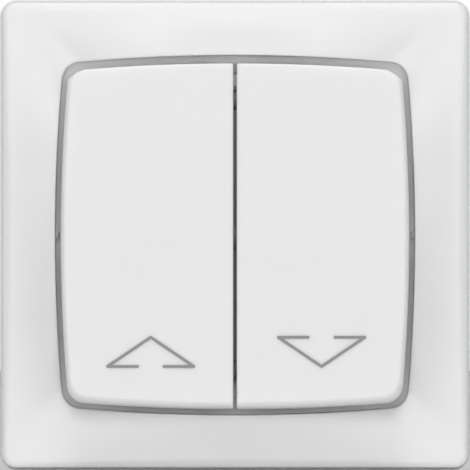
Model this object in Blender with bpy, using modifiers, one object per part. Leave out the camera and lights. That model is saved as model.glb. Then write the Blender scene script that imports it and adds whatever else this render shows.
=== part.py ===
"""Flush-mounted roller shutter switch: cover frame, two rockers and the insert behind them.

Blender 4.5. Run with: blender --background --python part.py
Metres, X to the right, Z up. The wall surface is the plane Y = 0, the room is at -Y and the
wall box at +Y. The origin is the centre of the wall box's mouth. A "height" is a distance from the
wall into the room, so it lies at Y = -height.
"""

import math

import bmesh
import bpy
from mathutils import Matrix, Vector

MM = 0.001

# Clearances
SEAT_GAP = 0.3 * MM  # between pieces that rest on each other
RUNNING_GAP = 0.25 * MM  # round a trunnion or plunger

# Cover frame
FRAME_OVERHANG = 5.0 * MM  # beyond the mounting ring on each side
FRAME_CORNER_RADIUS = 2.75 * MM
FRAME_WALL = 1.8 * MM
FRAME_SIDE_HEIGHT = 3.7 * MM  # straight part of the outer side
FRAME_EDGE_RADIUS = 1.0 * MM
BAND_SLOPE = math.radians(30)  # sloping band inside the rounded edge
BAND_RISE = 0.35 * MM  # rise of the band at the corners
FACE_RIM_RISE = 0.45 * MM  # extra height of the face at its rim, mid-side
FACE_LIP_RISE = 3.0 * MM  # extra height of the face at the lip, mid-side
FACE_CURVE = 1.5  # exponent of the face's rise from rim to lip
CROWN_CURVE = 1.3  # exponent of the rise from corner to mid-side

# Opening of the frame
OPENING_MARGIN = 5.44 * MM  # from the insert's flange to the lip, above and below
SCREW_HEAD_MARGIN = 1.4 * MM  # at least, from the claw screws' heads to the ledge
OPENING_BOW_RADIUS = 312.0 * MM
OPENING_CORNER_RADIUS = 3.26 * MM
LIP_RADIUS = 0.35 * MM
COLLAR_WALL = 1.3 * MM
COLLAR_DRAFT = 0.15 * MM
LEDGE_THICKNESS = 0.7 * MM  # the collar ends in a ledge that lies on the mounting ring
LEDGE_REACH = 3.0 * MM  # from the lip inwards, under the rockers' skirts
NUB_LENGTH = 1.4 * MM  # centring nubs on the ledge's left and right side
NUB_REACH = 0.65 * MM
NUB_HEIGHT = 2.0 * MM
FACE_SHARES = (0.85, 0.7, 0.55, 0.4, 0.27, 0.16, 0.07)  # lofted rings from the rim to the lip
UNDERSIDE_SHARES = (0.0, 0.4, 0.7, 0.9)  # and back behind them

# Rockers
ROCKER_GAP = 1.09 * MM  # from the lip to the foot of the skirt
SEAM = 0.6 * MM  # between the two rockers
ROCKER_BOW_RADIUS = 311.0 * MM
ROCKER_CORNER_RADIUS = 3.2 * MM
SEAM_CORNER_RADIUS = 0.35 * MM
SKIRT_FLARE = 0.7 * MM  # the foot stands out this far beyond the face
SKIRT_CLEARANCE = 0.35 * MM  # from the foot to the frame's ledge when the end is pressed in
ROCKER_EDGE_RADIUS = 0.3 * MM
ROCKER_WALL = 1.6 * MM
ROCKER_FACE_HEIGHT = 11.2 * MM  # with the rocker level
ROCKER_DROP = 0.35 * MM  # the cap sits low on its carrier, to even the gaps when it is tilted
HINGE_HEIGHT = 3.0 * MM
REST_TILT = math.radians(5.0)  # upper end in, lower end out
PEG_WIDTH = 5.0 * MM
PEG_THICKNESS = 1.4 * MM
PEG_BARB = 0.9 * MM

# Rocker carriers
MIDDLE_EAR_HALF = 2.7 * MM  # half the width of the bearing between the two carriers
CARRIER_WIDTH = 13.2 * MM
CARRIER_LENGTH = 30.0 * MM
CARRIER_PLATE = 1.6 * MM
CARRIER_BAR = 2.2 * MM  # cross bar at each end of the plate
CARRIER_RAIL = 1.7 * MM
HUB_LENGTH = 8.4 * MM
HUB_DEPTH = 4.0 * MM
TRUNNION_RADIUS = 1.2 * MM
TRUNNION_LENGTH = 1.8 * MM
STEM_RADIUS = 3.0 * MM
STEM_REACH = 10.5 * MM  # from the hinge to the stem's open end
PLUNGER_RADIUS = 1.5 * MM
PLUNGER_LENGTH = 7.0 * MM
PLUNGER_REACH = 14.0 * MM  # from the hinge to the plunger's tip
PLUNGER_SPRING_LENGTH = 7.2 * MM
PLUNGER_SPRING_TURNS = 6
PLUNGER_SPRING_WIRE = 0.16 * MM  # radius
PLUNGER_SPRING_CLOSING = 0.6  # 0 for an even helix, 1 for flat end turns

# Contact bridges and contacts
BRIDGE_LENGTH = 18.8 * MM
BRIDGE_WIDTH = 5.0 * MM
BRASS_SHEET = 0.8 * MM
BRIDGE_SWING = math.radians(6.0)  # to each side of level
CONTACT_MARGIN = 1.8 * MM  # from the contact's axis to the bridge's end
CONTACT_RADIUS = 1.6 * MM
CONTACT_HEAD = 0.7 * MM
CONTACT_SHANK_RADIUS = 0.7 * MM
CONTACT_CLEARANCE = 0.15 * MM  # left between the closed contacts
FULCRUM_HEIGHT = 1.0 * MM
FULCRUM_WIDTH = 2.4 * MM

# Terminals
CLAMP_GAP = 1.6 * MM  # from the bridge's end to the middle of the clamp bar
CLAMP_SPRING_SHEET = 0.35 * MM
CLAMP_SPRING_WIDTH = 4.2 * MM
CLAMP_SPRING_BEND = 0.9 * MM
CLAMP_SPRING_HEEL = 2.0 * MM  # its two ends start this far in front of the clamp bar's strip
CLAMP_SPRING_TIP = 0.4 * MM
WIRE_HOLE_RADIUS = 1.35 * MM
WIRE_REACH = 2.1 * MM  # from the clamp bar to the wire's axis
FUNNEL_DEPTH = 0.4 * MM  # each wire's hole opens out towards the back, by as much
WIRE_HOLE_STEPS = 14
BUTTON_WIDTH = 2.8 * MM
BUTTON_DEPTH = 1.8 * MM
BUTTON_REACH = 5.4 * MM  # from the clamp bar to the button's middle
BUTTON_PROUD = 0.7 * MM
BUTTON_FLANGE = 0.6 * MM

# Insert base
BASE_SIDE_MARGIN = 0.1 * MM  # beyond the insert cover's outer ears
CELL_END = 3.1 * MM  # from the button's middle to the end of the chamber
CELL_DEPTH = 5.0 * MM  # from the switched strip's seat to the floor
BASE_CHAMFER = 4.0 * MM
BASE_BACK_CHAMFER = 1.0 * MM
BASE_WALL = 1.7 * MM
BASE_FLOOR = 1.8 * MM
MIDDLE_WALL = 2.4 * MM
FLANGE_SIDE = 2.0 * MM  # reach beyond the box, left and right
FLANGE_END = 4.4 * MM  # above and below
FLANGE_CHAMFER = 7.0 * MM
FLANGE_THICKNESS = 2.2 * MM
CELL_WALL = 1.0 * MM

# Insert cover
COVER_THICKNESS = 2.0 * MM
EAR_RADIUS = 2.6 * MM
EAR_WIDTH = 2.4 * MM
EAR_STEPS = 8
COVER_RIM_WALL = 1.2 * MM

# Mounting ring
RING_OVERLAP = 4.46 * MM  # beyond the lip of the frame's opening
RING_THICKNESS = 1.0 * MM
RING_CORNER_RADIUS = 4.0 * MM
BOX_SLOT_MARGIN = 5.5 * MM  # from the ring's edge; the box's screws are 60 mm apart
BOX_SLOT_WIDTH = 3.6 * MM
BOX_SLOT_LENGTH = 8.0 * MM
WALL_HOLE_RADIUS = 1.7 * MM
WALL_HOLE_MARGIN = 8.0 * MM  # from the ring's edge, both ways
LUG_OFFSET = 14.0 * MM
LUG_WIDTH = 6.0 * MM
LUG_WINDOW_WIDTH = 2.8 * MM
LATCH_WIDTH = 5.0 * MM
LATCH_THICKNESS = 1.2 * MM
LATCH_END = 1.3 * MM  # height of the latch arms' free end
LATCH_NUB = 0.8 * MM

# Rivets
RIVET_RADIUS = 1.1 * MM
RIVET_HEAD_RADIUS = 1.7 * MM
RIVET_HEAD = 0.6 * MM
RIVET_MARGIN = 2.1 * MM  # from the box's end to the rivet's axis

# Claws
CLAW_SCREW_MARGIN = 0.4 * MM  # between the screw's head and the insert cover
CLAW_SCREW_RADIUS = 1.6 * MM
CLAW_SCREW_LENGTH = 22.8 * MM
CLAW_SCREW_HEAD_RADIUS = 2.6 * MM
CLAW_SCREW_HEAD = 1.6 * MM
CLAW_SCREW_SLOT = 0.7 * MM
CLAW_SHEET = 1.2 * MM
CLAW_WIDTH = 11.2 * MM
CLAW_FOOT_DEPTH = 17.6 * MM  # middle of the foot's sheet, behind the wall surface
CLAW_FOOT_REACH = 3.8 * MM  # from the screw's axis inwards
CLAW_ARM_REACH = 3.5 * MM  # and outwards
CLAW_ARM_END = 8.0 * MM
CLAW_TEETH = 4
CLAW_BEND = 1.3 * MM
CLAW_HOOK_LENGTH = 1.5 * MM  # the toothed end leans outwards over this length
CLAW_HOOK = 0.4 * MM
TOOTH_DEPTH = 1.4 * MM
CLAW_SLOPE = math.radians(53.13)  # its travel leans this far from outwards towards the room
NUT_SIZE = 5.0 * MM
NUT_THICKNESS = 2.0 * MM
RAMP_REACH = 2.0 * MM  # the ramp's crest lies this far under the claw's foot
RAMP_INNER = 2.8 * MM
RAMP_OUTER = 5.2 * MM
RAMP_START = 9.0 * MM

# Steps of round shapes
SIDE_STEPS = 12
CORNER_STEPS = 4
ROUND_STEPS = 20
SMALL_ROUND_STEPS = 16
ROCKER_END_STEPS = 6
ROCKER_CORNER_STEPS = 5
ROCKER_SIDE_STEPS = 10
SMALL_CORNER_STEPS = 2
SLOT_END_STEPS = 6
CLAMP_BEND_STEPS = 5
COIL_STEPS = 10  # a turn
THROUGH = 10.0 * MM  # length of a cutter that passes right through a plate
PIVOT_MARK = 5.0 * MM  # size of the empties shown on the joint axes

# Widths that follow, from the middle outwards
POLE_OFFSET = MIDDLE_EAR_HALF + SEAT_GAP + CARRIER_WIDTH / 2
EAR_OUTER = POLE_OFFSET + CARRIER_WIDTH / 2 + SEAT_GAP + EAR_WIDTH
BASE_WIDTH = 2 * (EAR_OUTER + BASE_SIDE_MARGIN)
FLANGE_WIDTH = BASE_WIDTH + 2 * FLANGE_SIDE
CLAW_SCREW_OFFSET = FLANGE_WIDTH / 2 + CLAW_SCREW_MARGIN + CLAW_SCREW_HEAD_RADIUS
CLAW_FOOT_START = CLAW_SCREW_OFFSET - CLAW_FOOT_REACH
CLAW_ARM_OFFSET = CLAW_SCREW_OFFSET + CLAW_ARM_REACH
RAMP_OFFSET = CLAW_FOOT_START + RAMP_REACH

# Lengths that follow, from the fulcrum upwards and downwards
CONTACT_OFFSET = BRIDGE_LENGTH / 2 - CONTACT_MARGIN
CLAMP_OFFSET = BRIDGE_LENGTH / 2 + CLAMP_GAP
WIRE_HOLE_OFFSET = CLAMP_OFFSET + WIRE_REACH
BUTTON_OFFSET = CLAMP_OFFSET + BUTTON_REACH
CHAMBER_END = BUTTON_OFFSET + CELL_END
BASE_LENGTH = 2 * (CHAMBER_END + BASE_WALL)
FLANGE_LENGTH = BASE_LENGTH + 2 * FLANGE_END
RIVET_OFFSET = BASE_LENGTH / 2 + RIVET_MARGIN

# Squares that follow: the opening clears the insert, the ring backs it and the frame covers the ring
SCREW_HEAD_REACH = CLAW_SCREW_OFFSET + CLAW_SCREW_HEAD_RADIUS
OPENING_SIZE = 2 * max(
    FLANGE_LENGTH / 2 + OPENING_MARGIN, SCREW_HEAD_REACH + SCREW_HEAD_MARGIN + LEDGE_REACH
)
RING_SIZE = OPENING_SIZE + 2 * RING_OVERLAP
FRAME_SIZE = RING_SIZE + 2 * FRAME_OVERHANG
BOX_SLOT_OFFSET = RING_SIZE / 2 - BOX_SLOT_MARGIN
WALL_HOLE_OFFSET = RING_SIZE / 2 - WALL_HOLE_MARGIN
LUG_HEIGHT = FRAME_SIDE_HEIGHT

# Heights and depths that follow
LEDGE_BACK = RING_THICKNESS + SEAT_GAP
LEDGE_FRONT = LEDGE_BACK + LEDGE_THICKNESS
ROCKER_FOOT_HALF = OPENING_SIZE / 2 - ROCKER_GAP
ROCKER_FACE_HALF = ROCKER_FOOT_HALF - SKIRT_FLARE
SKIRT_DEPTH = (
    ROCKER_FACE_HEIGHT
    - LEDGE_FRONT
    - SKIRT_CLEARANCE
    - (ROCKER_FOOT_HALF + ROCKER_DROP) * math.sin(REST_TILT)
)
BAND_START_HEIGHT = FRAME_SIDE_HEIGHT + FRAME_EDGE_RADIUS * math.cos(BAND_SLOPE)
FACE_CORNER_HEIGHT = BAND_START_HEIGHT + BAND_RISE
CARRIER_TOP = ROCKER_FACE_HEIGHT - ROCKER_WALL - SEAT_GAP
COVER_BACK = RING_THICKNESS + SEAT_GAP
COVER_FRONT = COVER_BACK + COVER_THICKNESS
SEAM_WALL_END = max(
    COVER_FRONT
    + RIVET_HEAD
    + 2 * SEAT_GAP
    + (RIVET_OFFSET + RIVET_HEAD_RADIUS) * math.sin(REST_TILT),
    HINGE_HEIGHT + EAR_RADIUS + 2 * SEAT_GAP,
)
HINGE_Y = -HINGE_HEIGHT
TIP_Y = HINGE_Y + PLUNGER_REACH
BRIDGE_Y = TIP_Y + SEAT_GAP
FULCRUM_Y = BRIDGE_Y + BRASS_SHEET + SEAT_GAP
COMMON_Y = FULCRUM_Y + FULCRUM_HEIGHT
MOVING_FACE_Y = BRIDGE_Y + BRASS_SHEET + SEAT_GAP + CONTACT_HEAD
FIXED_FACE_Y = (
    MOVING_FACE_Y + (CONTACT_OFFSET + CONTACT_RADIUS) * math.sin(BRIDGE_SWING) + CONTACT_CLEARANCE
)
FIXED_STRIP_Y = FIXED_FACE_Y + CONTACT_HEAD + SEAT_GAP
FLOOR_Y = FIXED_STRIP_Y + CELL_DEPTH
BASE_DEPTH = FLOOR_Y + BASE_FLOOR
CLAMP_BAR_END = FLOOR_Y - 2 * SEAT_GAP
CHAMBER_OUTER = BASE_WIDTH / 2 - BASE_WALL
CHAMBER_CHAMFER = BASE_CHAMFER - BASE_WALL * (2 - math.sqrt(2)) * 0.5
CLAW_DIRECTION = Vector((math.cos(CLAW_SLOPE), -math.sin(CLAW_SLOPE)))

SIDES = {"left": -1, "right": 1}


def clear_scene():
    """Removes every object and collection, so that the script starts empty."""
    for obj in list(bpy.data.objects):
        bpy.data.objects.remove(obj)
    for old in list(bpy.data.collections):
        bpy.data.collections.remove(old)


def make_material(name, colour, roughness, metallic=0.0):
    material = bpy.data.materials.new(name)
    material.use_nodes = True
    shader = material.node_tree.nodes["Principled BSDF"]
    shader.inputs["Base Color"].default_value = (*colour, 1.0)
    shader.inputs["Roughness"].default_value = roughness
    shader.inputs["Metallic"].default_value = metallic
    material.diffuse_color = (*colour, 1.0)
    return material


def finish(name, bm, material, smooth_angle=None):
    """Turns a bmesh into an object of the part, with its faces pointing out."""
    bmesh.ops.recalc_face_normals(bm, faces=bm.faces)
    mesh = bpy.data.meshes.new(name)
    bm.to_mesh(mesh)
    bm.free()
    if material:
        mesh.materials.append(material)
    if smooth_angle:
        mesh.shade_smooth()
        mesh.set_sharp_from_angle(angle=smooth_angle)
    obj = bpy.data.objects.new(name, mesh)
    collection.objects.link(obj)
    return obj


def box(name, x, y, z, material=None):
    """A block between two values on each axis."""
    bm = bmesh.new()
    bmesh.ops.create_cube(bm, size=1.0)
    spans = [max(pair) - min(pair) for pair in (x, y, z)]
    middles = [(pair[0] + pair[1]) / 2 for pair in (x, y, z)]
    bmesh.ops.scale(bm, vec=spans, verts=bm.verts)
    bmesh.ops.translate(bm, vec=middles, verts=bm.verts)
    return finish(name, bm, material)


def cylinder(
    name, centre, radius, length, axis, material=None, steps=ROUND_STEPS, near_radius=None
):
    """A round bar along "X" or "Y", about its centre. A near radius makes it a cone."""
    bm = bmesh.new()
    turn = Matrix.Rotation(math.pi / 2, 4, "Y" if axis == "X" else "X")
    bmesh.ops.create_cone(
        bm,
        cap_ends=True,
        segments=steps,
        radius1=radius,
        radius2=radius if near_radius is None else near_radius,
        depth=length,
        matrix=Matrix.Translation(centre) @ turn,
    )
    return finish(name, bm, material, math.radians(40))


def prism(name, outline, axis, start, end, material=None):
    """Extrudes a flat outline along "X" (pairs are y, z) or "Y" (pairs are x, z) or "Z" (x, y)."""
    place = "XYZ".index(axis)
    bm = bmesh.new()
    corners = []
    for pair in outline:
        point = list(pair)
        point.insert(place, start)
        corners.append(bm.verts.new(point))
    face = bm.faces.new(corners)
    grown = bmesh.ops.extrude_face_region(bm, geom=[face], use_keep_orig=True)
    moved = [item for item in grown["geom"] if isinstance(item, bmesh.types.BMVert)]
    travel = Vector((0, 0, 0))
    travel[place] = end - start
    bmesh.ops.translate(bm, vec=travel, verts=moved)
    return finish(name, bm, material)


def turned(name, profile, place, material, steps=ROUND_STEPS):
    """Turns a profile of (radius, depth) pairs about an axis along Y through place (x, z)."""
    mesh = bpy.data.meshes.new(name)
    points = [(radius, 0.0, -depth) for radius, depth in profile]
    mesh.from_pydata(points, [(i, i + 1) for i in range(len(points) - 1)], [])
    obj = bpy.data.objects.new(name, mesh)
    collection.objects.link(obj)
    screw = obj.modifiers.new("turn", "SCREW")
    screw.steps = steps
    screw.render_steps = steps
    screw.use_merge_vertices = True
    screw.merge_threshold = 1e-6
    baked = bake(obj)
    bm = bmesh.new()
    bm.from_mesh(baked.data)
    bmesh.ops.remove_doubles(bm, verts=bm.verts, dist=1e-6)
    bmesh.ops.recalc_face_normals(bm, faces=bm.faces)
    bm.to_mesh(baked.data)
    bm.free()
    baked.data.materials.append(material)
    baked.data.shade_smooth()
    baked.data.set_sharp_from_angle(angle=math.radians(40))
    baked.rotation_euler = (math.pi / 2, 0, 0)
    baked.location = (place[0], 0, place[1])
    return baked


def bake(obj):
    """Applies an object's modifiers."""
    bpy.context.view_layer.update()
    evaluated = obj.evaluated_get(bpy.context.evaluated_depsgraph_get())
    mesh = bpy.data.meshes.new_from_object(evaluated)
    mesh.name = obj.name
    obj.modifiers.clear()
    obj.data = mesh
    return obj


def combine(obj, tools, operation):
    """Cuts tools out of an object, or joins them to it, and removes the tools."""
    for tool in tools:
        boolean = obj.modifiers.new(operation, "BOOLEAN")
        boolean.operation = operation
        boolean.solver = "EXACT"
        boolean.object = tool
    bake(obj)
    for tool in tools:
        bpy.data.objects.remove(tool)
    return obj


def cut(obj, tools):
    return combine(obj, tools, "DIFFERENCE")


def join(obj, tools):
    return combine(obj, tools, "UNION")


def bent_sheet(name, path, thickness, axis, start, end, material=None):
    """A sheet of even thickness bent along a path, as wide as from start to end on the axis."""
    points = [Vector(pair) for pair in path]
    left, right = [], []
    for i, point in enumerate(points):
        before = (point - points[i - 1]).normalized() if i else None
        after = (points[i + 1] - point).normalized() if i + 1 < len(points) else None
        along = ((before or after) + (after or before)).normalized()
        normal = Vector((-along.y, along.x))
        reach = thickness / 2 / normal.dot(Vector((-(after or before).y, (after or before).x)))
        left.append(point + normal * reach)
        right.append(point - normal * reach)
    outline = [tuple(point) for point in left + right[::-1]]
    return prism(name, outline, axis, start, end, material)


def arc(centre, radius, start, end, steps):
    """Points of an arc, both ends included. Angles in radians."""
    angles = [start + (end - start) * i / steps for i in range(steps + 1)]
    return [(centre[0] + radius * math.cos(a), centre[1] + radius * math.sin(a)) for a in angles]


def rounded_square(half, radius, steps=CORNER_STEPS):
    """Outline of a square with round corners."""
    inner = half - radius
    centres = ((inner, inner), (-inner, inner), (-inner, -inner), (inner, -inner))
    outline = []
    for turn, centre in enumerate(centres):
        start = turn * math.pi / 2
        outline += arc(centre, radius, start, start + math.pi / 2, steps)
    return outline


def chamfered(half_x, half_z, chamfer):
    """Outline of a rectangle with its four corners cut off."""
    x, z = half_x - chamfer, half_z - chamfer
    return [
        (half_x, -z),
        (half_x, z),
        (x, half_z),
        (-x, half_z),
        (-half_x, z),
        (-half_x, -z),
        (-x, -half_z),
        (x, -half_z),
    ]


def loft(name, rings, material, closed=False, smooth_angle=None):
    """Skins rings of equally many points.

    Closed joins the last ring to the first. Otherwise the first and the last are capped."""
    bm = bmesh.new()
    grid = [[bm.verts.new(point) for point in ring] for ring in rings]
    pairs = list(zip(grid, grid[1:] + grid[:1])) if closed else list(zip(grid, grid[1:]))
    for lower, upper in pairs:
        for i, corner in enumerate(lower):
            j = (i + 1) % len(lower)
            bm.faces.new((corner, lower[j], upper[j], upper[i]))
    if not closed:
        bm.faces.new(grid[0])
        bm.faces.new(grid[-1])
    return finish(name, bm, material, smooth_angle)


class Barrel:
    """A square whose four sides bow outwards, with round corners that touch them smoothly."""

    def __init__(self, half, bow_radius, corner_radius):
        self.bow_radius = bow_radius
        self.corner_radius = corner_radius
        self.bow_centre = half - bow_radius
        reach = bow_radius - corner_radius
        self.corner = (
            self.bow_centre + math.sqrt(2 * reach * reach - self.bow_centre * self.bow_centre)
        ) / 2
        self.lean = math.atan2(self.corner, self.corner - self.bow_centre)
        self.tangent = bow_radius * math.sin(self.lean)

    def edge(self, along):
        """How far out a side lies at this distance from its middle."""
        return self.bow_centre + math.sqrt(self.bow_radius**2 - along**2)

    def stations(self):
        """The outline from the middle corner of one side round all four: (point, side, place on it).

        The place runs from -1 to 1 along a side, and is 1 all round a corner."""
        found = []
        for turn in range(4):
            turned_by = Matrix.Rotation(turn * math.pi / 2, 2)
            for i in range(SIDE_STEPS):
                place = -1 + 2 * i / SIDE_STEPS
                along = place * self.tangent
                found.append((turned_by @ Vector((self.edge(along), along)), place, turn))
            round_corner = arc(
                (self.corner, self.corner),
                self.corner_radius,
                self.lean,
                math.pi / 2 - self.lean,
                CORNER_STEPS,
            )
            found += [(turned_by @ Vector(point), 1.0, turn) for point in round_corner[:-1]]
        return found


def square_stations(half, radius):
    """Points of a rounded square that answer to a barrel's stations, one by one."""
    radius = max(radius, 0.2 * MM)
    inner = half - radius
    found = []
    for turn in range(4):
        turned_by = Matrix.Rotation(turn * math.pi / 2, 2)
        for i in range(SIDE_STEPS):
            found.append(turned_by @ Vector((half, inner * (-1 + 2 * i / SIDE_STEPS))))
        round_corner = arc((inner, inner), radius, 0, math.pi / 2, CORNER_STEPS)
        found += [turned_by @ Vector(point) for point in round_corner[:-1]]
    return found


def crown(place):
    """The share of the mid-side rise at this place along a side: 1 in the middle, 0 at the ends."""
    return max(0.0, 1 - place * place) ** CROWN_CURVE


def face_rise(share, place):
    """Height of the frame's face over its corners, at a share of the way from the lip to the rim."""
    swell = (FACE_LIP_RISE - FACE_RIM_RISE) * (1 - share) ** FACE_CURVE
    return crown(place) * (FACE_RIM_RISE + swell)


def make_cover_frame():
    """A skin lofted from the rounded square outside to the barrel-shaped lip, back along the inside."""
    half = FRAME_SIZE / 2
    lip = Barrel(OPENING_SIZE / 2, OPENING_BOW_RADIUS, OPENING_CORNER_RADIUS)
    lip_stations = lip.stations()
    places = [place for _, place, _ in lip_stations]

    def barrel_ring(offset, height):
        """A ring at an offset outside the lip, at a height for each station."""
        grown = Barrel(
            OPENING_SIZE / 2 + offset,
            OPENING_BOW_RADIUS + offset,
            OPENING_CORNER_RADIUS + offset,
        )
        return [Vector((p.x, -height(place), p.y)) for p, place, _ in grown.stations()]

    def square_ring(offset, height):
        """A ring at an offset inside the outer square, each given for each station."""
        ring = []
        for i, place in enumerate(places):
            inset = offset(place)
            point = square_stations(half - inset, FRAME_CORNER_RADIUS - inset)[i]
            ring.append(Vector((point.x, -height(place), point.y)))
        return ring

    def band_end(place):
        """Where the sloping band meets the face: further in where the face is higher."""
        rise = BAND_RISE + crown(place) * FACE_RIM_RISE
        return FRAME_EDGE_RADIUS * (1 - math.sin(BAND_SLOPE)) + rise / math.tan(BAND_SLOPE)

    def face_height(share):
        return lambda place: FACE_CORNER_HEIGHT + face_rise(share, place)

    def between(inner, outer, share, height):
        return [
            Vector((a.x + (b.x - a.x) * share, -height(place), a.z + (b.z - a.z) * share))
            for a, b, place in zip(inner, outer, places)
        ]

    rings = [square_ring(lambda place: 0.0, lambda place: SEAT_GAP)]
    for step in (0, 1, 2):
        angle = (math.pi / 2 - BAND_SLOPE) * step / 2
        inset = FRAME_EDGE_RADIUS * (1 - math.cos(angle))
        height = FRAME_SIDE_HEIGHT + FRAME_EDGE_RADIUS * math.sin(angle)
        rings.append(square_ring(lambda place, v=inset: v, lambda place, v=height: v))
    rim = square_ring(band_end, face_height(1.0))
    lip_outer = barrel_ring(LIP_RADIUS, face_height(0.0))
    rings.append(rim)
    for share in FACE_SHARES:
        rings.append(between(lip_outer, rim, share, face_height(share)))
    rings.append(lip_outer)
    for angle in (math.radians(45), math.radians(90)):
        offset = LIP_RADIUS * (1 - math.sin(angle))
        drop = LIP_RADIUS * (1 - math.cos(angle))
        rings.append(barrel_ring(offset, lambda place, v=drop: face_height(0.0)(place) - v))
    rings.append(barrel_ring(-COLLAR_DRAFT, lambda place: LEDGE_FRONT))
    rings.append(barrel_ring(-LEDGE_REACH, lambda place: LEDGE_FRONT))
    rings.append(barrel_ring(-LEDGE_REACH, lambda place: LEDGE_BACK))
    rings.append(barrel_ring(COLLAR_WALL, lambda place: LEDGE_BACK))
    collar_share = COLLAR_WALL / (FRAME_SIZE / 2 - OPENING_SIZE / 2)
    for share in UNDERSIDE_SHARES:
        rings.append(
            between(
                barrel_ring(COLLAR_WALL, face_height(0.0)),
                square_ring(lambda place: FRAME_WALL, face_height(1.0)),
                share,
                lambda place, v=max(share, collar_share): face_height(v)(place) - FRAME_WALL,
            )
        )
    rings.append(square_ring(lambda place: FRAME_WALL, lambda place: BAND_START_HEIGHT - FRAME_WALL))
    rings.append(square_ring(lambda place: FRAME_WALL, lambda place: SEAT_GAP))
    frame = loft("cover_frame", rings, WHITE, closed=True, smooth_angle=math.radians(35))

    tools = []
    arm_inner = RING_SIZE / 2 + SEAT_GAP
    arm_share = (arm_inner - OPENING_SIZE / 2) / (half - OPENING_SIZE / 2)
    arm_place = (LUG_OFFSET + LATCH_WIDTH / 2) / half
    arm_top = FACE_CORNER_HEIGHT + face_rise(arm_share, arm_place) - FRAME_WALL / 2
    nub_middle = (RING_THICKNESS + LUG_HEIGHT) / 2
    for side in SIDES.values():
        for end in (-1, 1):
            middle = end * LUG_OFFSET
            tools.append(
                box(
                    "latch_arm",
                    (side * arm_inner, side * (arm_inner + LATCH_THICKNESS)),
                    (-arm_top, -LATCH_END),
                    (middle - LATCH_WIDTH / 2, middle + LATCH_WIDTH / 2),
                )
            )
            inner = arm_inner - SEAT_GAP - LATCH_NUB
            tools.append(
                box(
                    "latch_nub",
                    (side * inner, side * (arm_inner + LATCH_THICKNESS / 2)),
                    (-nub_middle - LATCH_NUB / 2, -nub_middle + LATCH_NUB / 2),
                    (middle - LATCH_NUB, middle + LATCH_NUB),
                )
            )
        tools.append(
            box(
                "centring_nub",
                (
                    side * (OPENING_SIZE / 2 - NUB_REACH),
                    side * (OPENING_SIZE / 2 + COLLAR_WALL / 2),
                ),
                (-LEDGE_FRONT - NUB_HEIGHT, -LEDGE_FRONT + LEDGE_THICKNESS / 2),
                (-NUB_LENGTH / 2, NUB_LENGTH / 2),
            )
        )
    return join(frame, tools)


def rocker_outline(side, half, seam_half, inset=0.0):
    """Outline of one rocker: half of a barrel, with small corners at the seam."""
    barrel = Barrel(half - inset, ROCKER_BOW_RADIUS - inset, ROCKER_CORNER_RADIUS - inset)
    seam = seam_half + inset
    small = SEAM_CORNER_RADIUS
    start = seam + small
    run = barrel.tangent
    edge = barrel.edge(start) - small
    corner, lean = barrel.corner, barrel.lean
    radius, steps = barrel.corner_radius, ROCKER_CORNER_STEPS

    def run_of(first, last, steps):
        """Evenly spread places between two, neither of them included."""
        return [first + (last - first) * i / steps for i in range(1, steps)]

    outline = arc((start, -edge), small, math.pi, 1.5 * math.pi, SMALL_CORNER_STEPS)
    outline += [(x, -barrel.edge(x)) for x in run_of(start, run, ROCKER_END_STEPS)]
    outline += arc((corner, -corner), radius, lean - math.pi / 2, -lean, steps)
    outline += [(barrel.edge(z), z) for z in run_of(-run, run, ROCKER_SIDE_STEPS)]
    outline += arc((corner, corner), radius, lean, math.pi / 2 - lean, steps)
    outline += [(x, barrel.edge(x)) for x in run_of(run, start, ROCKER_END_STEPS)]
    outline += arc((start, edge), small, math.pi / 2, math.pi, SMALL_CORNER_STEPS)
    return [(side * x, z) for x, z in outline]


def make_rocker(name, side):
    """A drafted cap with a rounded front edge, hollow from behind, with two barbed pegs."""
    top = -ROCKER_FACE_HEIGHT
    foot = top + SKIRT_DEPTH
    seam_half = SEAM / 2

    def ring(half, depth, inset=0.0):
        outline = rocker_outline(side, half, seam_half, inset)
        return [Vector((x, depth, z - ROCKER_DROP)) for x, z in outline]

    def skirt_half(depth):
        return ROCKER_FACE_HALF + SKIRT_FLARE * (depth - top) / SKIRT_DEPTH

    ceiling = top + ROCKER_WALL
    rings = [ring(ROCKER_FACE_HALF, top, ROCKER_EDGE_RADIUS)]
    for angle in (math.radians(45), math.radians(90)):
        depth = top + ROCKER_EDGE_RADIUS * (1 - math.cos(angle))
        inset = ROCKER_EDGE_RADIUS * (1 - math.sin(angle))
        rings.append(ring(skirt_half(depth), depth, inset))
    rings.append(ring(skirt_half(foot), foot))
    rings.append(ring(skirt_half(foot), foot, ROCKER_WALL))
    rings.append(ring(skirt_half(ceiling), ceiling, ROCKER_WALL))
    rocker = loft(name, rings, WHITE, smooth_angle=math.radians(30))

    pegs = []
    middle = side * POLE_OFFSET
    bar_inner = CARRIER_LENGTH / 2 - CARRIER_BAR
    barb_front = -CARRIER_TOP + CARRIER_PLATE + SEAT_GAP
    for end in (-1, 1):
        outer = bar_inner - SEAT_GAP
        outline = [
            (ceiling - ROCKER_WALL / 2, end * (outer - PEG_THICKNESS)),
            (ceiling - ROCKER_WALL / 2, end * outer),
            (barb_front, end * outer),
            (barb_front, end * (outer + PEG_BARB)),
            (barb_front + PEG_BARB, end * outer),
            (barb_front + PEG_BARB, end * (outer - PEG_THICKNESS)),
        ]
        pegs.append(prism("peg", outline, "X", middle - PEG_WIDTH / 2, middle + PEG_WIDTH / 2))
    join(rocker, pegs)
    notch_half = ROCKER_FACE_HALF - 2 * ROCKER_WALL
    notch = box(
        "seam_notch",
        (-side * MM, side * (seam_half + ROCKER_WALL + MM)),
        (-SEAM_WALL_END, foot + MM),
        (-notch_half - ROCKER_DROP, notch_half - ROCKER_DROP),
    )
    return cut(rocker, [notch])


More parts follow.
